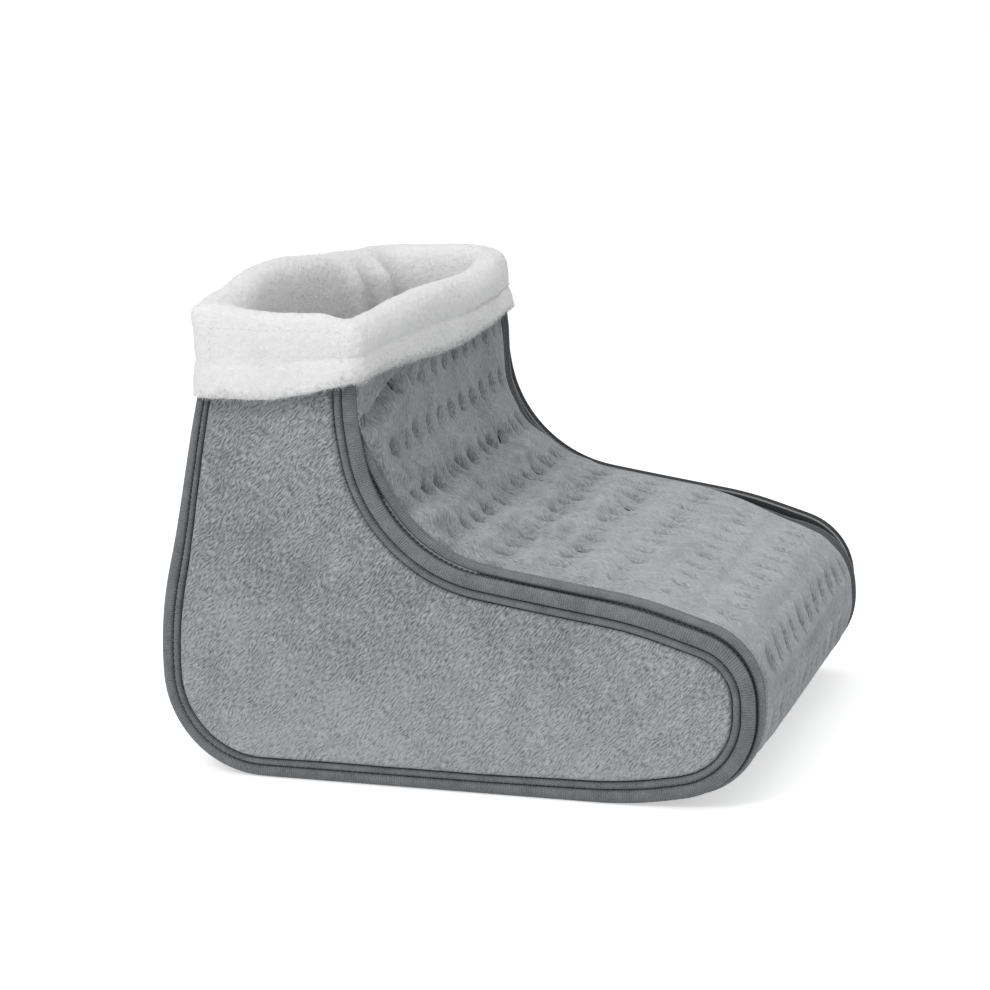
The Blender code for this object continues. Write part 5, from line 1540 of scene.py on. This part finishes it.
def ring_table(section):
    """The table of points for a section carried round the mouth."""
    rings = []
    for z, end, side in section:
        lean = float(np.interp(end, (0.0019, 0.0080), (1, HANG_LEAN)))
        if end < HANG_START or z > CREST_START:
            lean = 0.0
        radii = [float(np.interp(end, GROWTHS, corner)) for corner in CORNER_RADII]
        rings.append(mouth_ring(z, end, side, radii, lean))
    return np.stack(rings, axis=1)


def hitched(table):
    """The hem hitched up in front, most at the right corner, where the cuff was pulled straight."""
    x, y, z = table[..., 0], table[..., 1], table[..., 2]
    near = CORNER_LIFT * ramp(x, -0.095, -0.036) * ramp(-y, -0.030, 0.125)
    far = FAR_CORNER_LIFT * ramp(x, -0.075, -0.040) * ramp(y, 0.075, 0.110)
    outer = (x > RIM_FRONT + 0.001) | (np.abs(y) > HALF_WIDTH + 0.002)
    low = 1 - ramp(z, 0.2060, 0.2420)
    lifted = table.copy()
    lifted[..., 2] += (near + far) * low * outer
    return lifted


def creased(table):
    """The fold in the back wall inside, near its left corner: two swells with a crease between them."""
    x, y, z = table[..., 0], table[..., 1], table[..., 2]
    inner = (x > -0.1150) & (x < -0.095) & (z > 0.1906)
    swells = sum(size * hill((y - place, width)) for size, place, width in CREASE_SWELLS)
    folded = table.copy()
    folded[..., 0] += CREASE_HEIGHT * swells * inner * (1 - ramp(z, 0.234, 0.245))
    return folded


def pressed(table):
    """The band is flat where its patch is sewn on, on both sides."""
    x, y, z = table[..., 0], table[..., 1], table[..., 2]
    long_way = ramp(x, PATCH_ENDS[0], PATCH_ENDS[0] + 0.004)
    long_way = long_way * (1 - ramp(x, PATCH_ENDS[1] - 0.004, PATCH_ENDS[1]))
    high_way = ramp(z, PATCH_HEIGHTS[0] - 0.002, PATCH_HEIGHTS[0] + 0.001)
    high_way = high_way * (1 - ramp(z, PATCH_HEIGHTS[1] - 0.003, PATCH_HEIGHTS[1]))
    flat = table.copy()
    flat[..., 1] -= np.sign(y) * PATCH_PRESS * long_way * high_way * (np.abs(y) > HALF_WIDTH + 0.006)
    return flat


def crested(table):
    """The crest stands a little higher at the back and on the far side, where nothing pulls it down."""
    x, y, z = table[..., 0], table[..., 1], table[..., 2]
    back = BACK_CREST_LIFT * ramp(-x, 0.085, 0.115) * (1 - ramp(y, 0.100, 0.130))
    far = FAR_CREST_LIFT * ramp(x, -0.130, -0.060) * ramp(y, 0.060, 0.118)
    corner = CORNER_SWELL * ramp(-y, 0.075, 0.115) * ramp(-x, 0.100, 0.122)
    raised = table.copy()
    near = NEAR_CREST_LIFT * ramp(-y, 0.112, 0.124) * lobe(x, -0.128, -0.108, -0.066, -0.046)
    raised[..., 2] += (back + far + near + corner * 0.8) * ramp(z, 0.2240, 0.2440)
    raised[..., 0] -= corner * ramp(z, 0.2340, 0.2450)
    return raised


def plump(table, seed, height, size):
    """Push a closed table of points in and out along its normals, in soft lumps."""
    around = np.roll(table, -1, axis=0) - np.roll(table, 1, axis=0)
    over = np.roll(table, -1, axis=1) - np.roll(table, 1, axis=1)
    normal = np.cross(over, around)
    normal /= np.linalg.norm(normal, axis=2)[..., None]
    lumps = wobble(table, size, seed) + 0.6 * wobble(table, size * 0.45, seed + 5)
    return table + normal * (height * lumps)[..., None]


def add_tufts(piece, size, height):
    """Fine tufts as real relief, from a clouds texture."""
    clouds = bpy.data.textures.new(piece.name + "_tufts", "CLOUDS")
    clouds.noise_scale = size
    clouds.noise_depth = 2
    tufts = piece.modifiers.new("tufts", "DISPLACE")
    tufts.texture = clouds
    tufts.texture_coords = "LOCAL"
    tufts.strength = height
    tufts.mid_level = 0.5
    return piece


def make_cuff():
    """The turned-down band with its hem, and the collar inside."""
    table = crested(pressed(creased(hitched(ring_table(CUFF_SECTION)))))
    table = settled(plump(table, CUFF_LUMP_SEED, *CUFF_LUMPS))
    piece = table_piece("fleece_cuff", table, mouth_fleece, along_closed=True, across_closed=True)
    smoother(piece, 2)
    add_tufts(piece, TUFT_SIZE, TUFT_HEIGHT)
    dress(piece, "liner", "fleece", "cuff_band", "cuff_hem", "liner_collar")
    return piece


def patch_lines():
    """The stitches that hold a patch on each side of the band, along its top and its ends."""
    ends = [(x, z) for x in PATCH_ENDS for z in even_places(*PATCH_HEIGHTS, STITCH_PITCH)[:-1]]
    lines = []
    for _, side in SIDES:
        face = side * (HALF_WIDTH + 0.0105)
        for x in even_places(*PATCH_ENDS, STITCH_PITCH)[:-1]:
            steps = x + np.linspace(0.1, 0.9, 6) * STITCH_LENGTH
            lines.append(np.stack((steps, np.full(6, face), np.full(6, PATCH_HEIGHTS[1])), axis=-1))
        for x, z in ends:
            steps = z + np.linspace(0.1, 0.9, 6) * STITCH_LENGTH
            lines.append(np.stack((np.full(6, x), np.full(6, face), steps), axis=-1))
    return [settled(line) for line in lines]


cuff = make_cuff()
patch_threads = dress(threads_on(cuff, patch_lines(), STITCH_THREAD, cuff_thread), "liner", "fleece")
print("cuff squares:", len(cuff.data.polygons), "of patch threads:", len(patch_threads.data.polygons))

# %% [markdown]
# The pile is what makes plush look like plush: thousands of short fibres that stand off the cloth and
# lean together in small tufts. Each fibre here is a thin three-sided spike, rooted in the cuff. They
# stand thickest along the hem's lower edge, where the cloth bends most.

# %% Pile
PILE_COUNT = 16000
PILE_LENGTH = 0.0013
PILE_WIDTH = 0.00014
PILE_LEAN = 0.7
EDGE_PILE_COUNT = 14000
EDGE_PILE_LENGTH = 0.0021
RAGGED_PLACE = (-0.041, -0.139)
RAGGED_REACH = 0.010


def surface_of(piece):
    """The areas, centres and normals of a piece's finished faces."""
    graph = bpy.context.evaluated_depsgraph_get()
    mesh = piece.evaluated_get(graph).to_mesh()
    size = len(mesh.polygons)
    areas = np.empty(size, np.float32)
    centres = np.empty(size * 3, np.float32)
    normals = np.empty(size * 3, np.float32)
    mesh.polygons.foreach_get("area", areas)
    mesh.polygons.foreach_get("center", centres)
    mesh.polygons.foreach_get("normal", normals)
    piece.evaluated_get(graph).to_mesh_clear()
    return areas, centres.reshape(-1, 3), normals.reshape(-1, 3)


def spikes(roots, normals, lengths, random):
    """Thin three-sided spikes that stand on these roots, as vertices and faces."""
    lean = np.stack([wobble(roots, 0.009, seed) for seed in (101, 102, 103)], axis=-1)
    ways = normals + PILE_LEAN * lean + random.normal(0, 0.25, roots.shape)
    ways /= np.linalg.norm(ways, axis=1)[:, None]
    sideways = np.cross(ways, random.normal(0, 1, roots.shape))
    sideways /= np.linalg.norm(sideways, axis=1)[:, None]
    third = np.cross(ways, sideways)
    base = roots - normals * 0.0003
    corners = []
    for angle in (0, 2 * math.pi / 3, 4 * math.pi / 3):
        corners.append(base + PILE_WIDTH * (math.cos(angle) * sideways + math.sin(angle) * third))
    points = np.stack(corners + [base + ways * lengths[:, None]], axis=1)
    first = np.arange(len(roots))[:, None] * 4
    orders = ((0, 1, 3), (1, 2, 3), (2, 0, 3), (2, 1, 0))
    faces = np.concatenate([first + np.array(order) for order in orders])
    return points.reshape(-1, 3), faces


def make_pile(piece):
    """Short fibres over the cuff, and longer ones along its lower edge."""
    areas, centres, normals = surface_of(piece)
    random = np.random.RandomState(7)
    seen = (centres[:, 2] > 0.2) & ~((centres[:, 2] < 0.225) & (normals[:, 2] > 0.9))
    low = (normals[:, 2] < -0.15) & (centres[:, 2] < 0.222) & (centres[:, 2] > 0.2)
    points = []
    faces = []
    kinds = (
        (areas * seen, PILE_COUNT, PILE_LENGTH),
        (areas * low, EDGE_PILE_COUNT, EDGE_PILE_LENGTH),
    )
    for weight, count, length in kinds:
        picked = random.choice(len(areas), count, p=weight / weight.sum())
        roots = centres[picked] + random.normal(0, 0.0003, (count, 3))
        ragged = np.hypot(roots[:, 0] - RAGGED_PLACE[0], roots[:, 1] - RAGGED_PLACE[1]) < RAGGED_REACH
        lengths = length * random.uniform(0.4, 1.2, count) * np.where(ragged, 1.6, 1.0)
        more, joins = spikes(roots, normals[picked], lengths, random)
        faces.append(joins + sum(len(part) for part in points))
        points.append(more)
    faces = np.concatenate(faces)
    uvs = np.zeros((len(faces) * 3, 2))
    pile = mesh_piece("fleece_pile", np.concatenate(points), faces.tolist(), uvs, plush_fleece)
    return dress(pile, "liner", "fleece")


pile = make_pile(cuff)
print("fibres:", PILE_COUNT + EDGE_PILE_COUNT)

# %% [markdown]
# ## The foam, the liner's foot and the shell's lining
#
# Inside, the liner goes down to the toes as five limp cuts of the same fleece. They are hidden until
# the liner is drawn out, when they have to crumple through the shaft. Behind them the shell is lined
# with a plain woven cloth. Between the two, each side panel has its thin foam, cut a little smaller
# than the flannel so that it never shows at the seam.

# %% Liner and lining
FLEECE_THICKNESS = 0.0036
LINER_HALF = 0.1192
LINER_STRIP_HALF = 0.1149
LINING_HALF = 0.119
FOAM_INSET = 0.0040
FOAM_PLACE = 0.1268
FOAM_THICKNESS = 0.0028
LINING_PLACE = 0.1222
LINING_DEPTH = 0.0080
LINING_THICKNESS = 0.0006
CUT_STEP = 0.004
SEAM_GAP = 0.0002
LINER_SEAMS = ((0.066, 0.0111), (-0.101, 0.0111))


def limp(piece, flat, area, *nodes):
    """A cut of the liner's foot, hung on the liner with a mesh of its own."""
    dress(piece, "liner", "fleece", *nodes)
    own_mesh(piece)
    return piece


def cut_sizes(outline):
    """The width, height and area of the flat cut inside an outline."""
    x, z = outline.table[:2]
    area = abs(np.sum(x * np.roll(z, -1) - np.roll(x, -1) * z)) / 2
    return (float(np.ptp(x)), float(np.ptp(z))), float(area)


def filled_outline(outline, depth, y, bulge, seed):
    """A flat cut inside an outline, as rings that shrink towards its middle."""
    line = outline.points(even_places(depth, outline.length - depth, 0.004), depth, y)
    top = line[-1] + (line[0] - line[-1]) * np.linspace(0, 1, 14)[1:-1, None]
    loop = np.concatenate((line, top))
    middle = np.array([PANEL_MIDDLE[0], y, PANEL_MIDDLE[1]])
    shares = np.linspace(0, 1, 26)
    table = loop[None] + (middle - loop)[None] * shares[:, None, None]
    table[..., 1] += bulge * wobble(table, 0.05, seed) * ramp(shares, 0, 0.2)[:, None]
    return table


def flat_cut(name, table, side, finish, thickness):
    """A thick cut of cloth from the points that fill an outline, facing its own side."""
    piece = table_piece(name, settled(table), finish, across_closed=True, ends=False)
    merge_points(facing(piece, (0, side, 0)))
    return thicken(piece, thickness)


def make_liner():
    """The five cuts of the liner's foot."""
    made = []
    for word, side in SIDES:
        y = side * (LINER_HALF - 0.0003)
        table = filled_outline(liner, 0.0, y, 0.0008, 81 + side)
        piece = flat_cut(f"liner_cover_{word}", table, side, plush_fleece, FLEECE_THICKNESS)
        made.append(limp(smoother(piece), *cut_sizes(liner), f"liner_side_{word}"))
    seams = [liner.place_of(*place) for place in LINER_SEAMS]
    cuts = (
        ("liner_upper", 0.0, seams[0] - SEAM_GAP),
        ("liner_sole", seams[0] + SEAM_GAP, seams[1] - SEAM_GAP),
        ("liner_heel", seams[1] + SEAM_GAP, liner.length),
    )
    for name, start, end in cuts:
        places = even_places(-LINER_STRIP_HALF, LINER_STRIP_HALF, CUT_STEP)
        along, across = grid(even_places(start, end, CUT_STEP), places)
        table = liner.points(along, 0.0004, across)
        table = table + 0.0004 * wobble(table, 0.03, 91)[..., None] * np.array([1, 0, 1])
        piece = table_piece(name + "_cover", settled(table), plush_fleece)
        thicken(piece, FLEECE_THICKNESS)
        made.append(limp(smoother(piece), (2 * LINER_STRIP_HALF, end - start), None, name))
    return made


def make_foam():
    """The foam in both side panels, a little smaller than the flannel over it."""
    made = []
    for word, side in SIDES:
        table = filled_outline(boot, FOAM_INSET, side * FOAM_PLACE, 0.0002, 71 + side)
        piece = flat_cut(f"panel_foam_{word}", table, side, small_parts["foam"], FOAM_THICKNESS)
        made.append(dress(piece, "shell", "foam", f"side_foam_{word}"))
    return made


def make_lining():
    """The woven cloth inside the shell."""
    made = []
    for word, side in SIDES:
        table = filled_outline(boot, 0.0, side * LINING_PLACE, 0.0003, 95 + side)
        piece = flat_cut(f"lining_{word}", table, side, inner_cloth, LINING_THICKNESS)
        made.append(dress(piece, "shell", "inner_cloth", f"side_backing_{word}"))
    cuts = (
        ("upper_backing", 0.0, TOE_SEAM),
        ("sole_backing", TOE_SEAM + 0.0003, HEEL_SEAM - 0.0003),
        ("heel_backing", HEEL_SEAM, boot.length),
    )
    for name, start, end in cuts:
        places = even_places(-LINING_HALF, LINING_HALF, CUT_STEP)
        along, across = grid(even_places(start, end, CUT_STEP), places)
        table = settled(boot.points(along, LINING_DEPTH, across))
        piece = thicken(table_piece(name + "_cloth", table, inner_cloth), LINING_THICKNESS)
        made.append(dress(piece, "shell", "inner_cloth", name))
    return made


foam_pieces = make_foam()
liner_pieces = make_liner()
lining_pieces = make_lining()
print("liner, lining and foam pieces:", len(liner_pieces), len(lining_pieces), len(foam_pieces))

# %% [markdown]
# ## Finishes on the solids that stay
#
# The hard parts and the wires between the layers are right as they are. They keep their solids and
# get their finish, by the material slot that the record names for each.

# %% Finish the remaining solids
slot_of = {part["node"]: part["material_slot"] for part in frame["record"]["subparts"]}
kept = []
for node, thing in frame["nodes"].items():
    finish = small_parts.get(slot_of[node])
    if finish and not thing.hide_render:
        thing.data.materials.clear()
        thing.data.materials.append(finish)
        kept.append(node)
print("solids that stay:", ", ".join(sorted(kept)))

# %% [markdown]
# ## Studio
#
# A pale floor and a soft key light from the upper left, with light from all around, at the level at
# which a colour renders about as it is written. The white background comes from what the camera sees
# of the world and the floor, not from stronger lamps.

# %% Floor, world and lamps
WORLD_LEVEL = 0.55
FLOOR_SIZE = 8.0
FLOOR_DROP = 0.0004
FLOOR_COLOUR = (0.86, 0.86, 0.86)
FLOOR_LIFT = 0.52


def seen_plainly(look):
    """1 for rays from the camera and for those that show the background in gloss or glass."""
    path = look.node("ShaderNodeLightPath").socket.node.outputs
    rays = [Wire(look, path[name]) for name in ("Is Camera Ray", "Is Glossy Ray", "Is Transmission Ray")]
    return (rays[0] + rays[1] + rays[2]).between(0.0, 1.0)


def make_floor():
    """A matt pale floor that looks white and keeps the boot's shadow."""
    look = Look("floor", 0.9)
    look.shader.inputs["Base Color"].default_value = FLOOR_COLOUR + (1,)
    look.shader.inputs["Emission Strength"].default_value = FLOOR_LIFT
    look.feed("Emission Color", look.mixed((0.0, 0.0, 0.0), (1.0, 1.0, 1.0), seen_plainly(look)))
    corners = [(x, y) for x, y in ((-1, -1), (1, -1), (1, 1), (-1, 1))]
    corners = np.array(corners) * FLOOR_SIZE / 2
    points = np.column_stack((corners, np.full(4, -FLOOR_DROP)))
    floor = mesh_piece("floor", points, [(0, 1, 2, 3)], corners, look.material)
    return floor


def make_world():
    """Even light from everywhere, white where it is seen."""
    world = bpy.data.worlds.new("studio")
    bpy.context.scene.world = world
    world.use_nodes = True
    look = Nodes(world.node_tree)
    background = world.node_tree.nodes["Background"]
    background.inputs["Color"].default_value = (1, 1, 1, 1)
    level = seen_plainly(look) * (1 - WORLD_LEVEL) + WORLD_LEVEL
    world.node_tree.links.new(level.socket, background.inputs["Strength"])


def make_lamp(name, place, size, watts):
    """A square soft box that looks at the boot."""
    data = bpy.data.lights.new(name, "AREA")
    data.shape = "SQUARE"
    data.size = size
    data.energy = watts
    lamp = bpy.data.objects.new(name, data)
    bpy.context.scene.collection.objects.link(lamp)
    lamp.location = place
    aim = Vector((0, 0, 0.12)) - Vector(place)
    lamp.rotation_mode = "QUATERNION"
    lamp.rotation_quaternion = aim.to_track_quat("-Z", "Y")
    return lamp


floor = make_floor()
make_world()
lamps = [
    make_lamp("key", (-0.6, -1.9, 2.0), 0.9, 25),
    make_lamp("top", (0.3, 0.4, 2.4), 1.6, 11),
]
print("lamps:", ", ".join(lamp.name for lamp in lamps))

# %% [markdown]
# ## Finish
#
# The dressed boot may stand a few millimetres proud of its solids, as cloth does.

# %% Finish: the view transform
bpy.context.scene.view_settings.view_transform = "Standard"
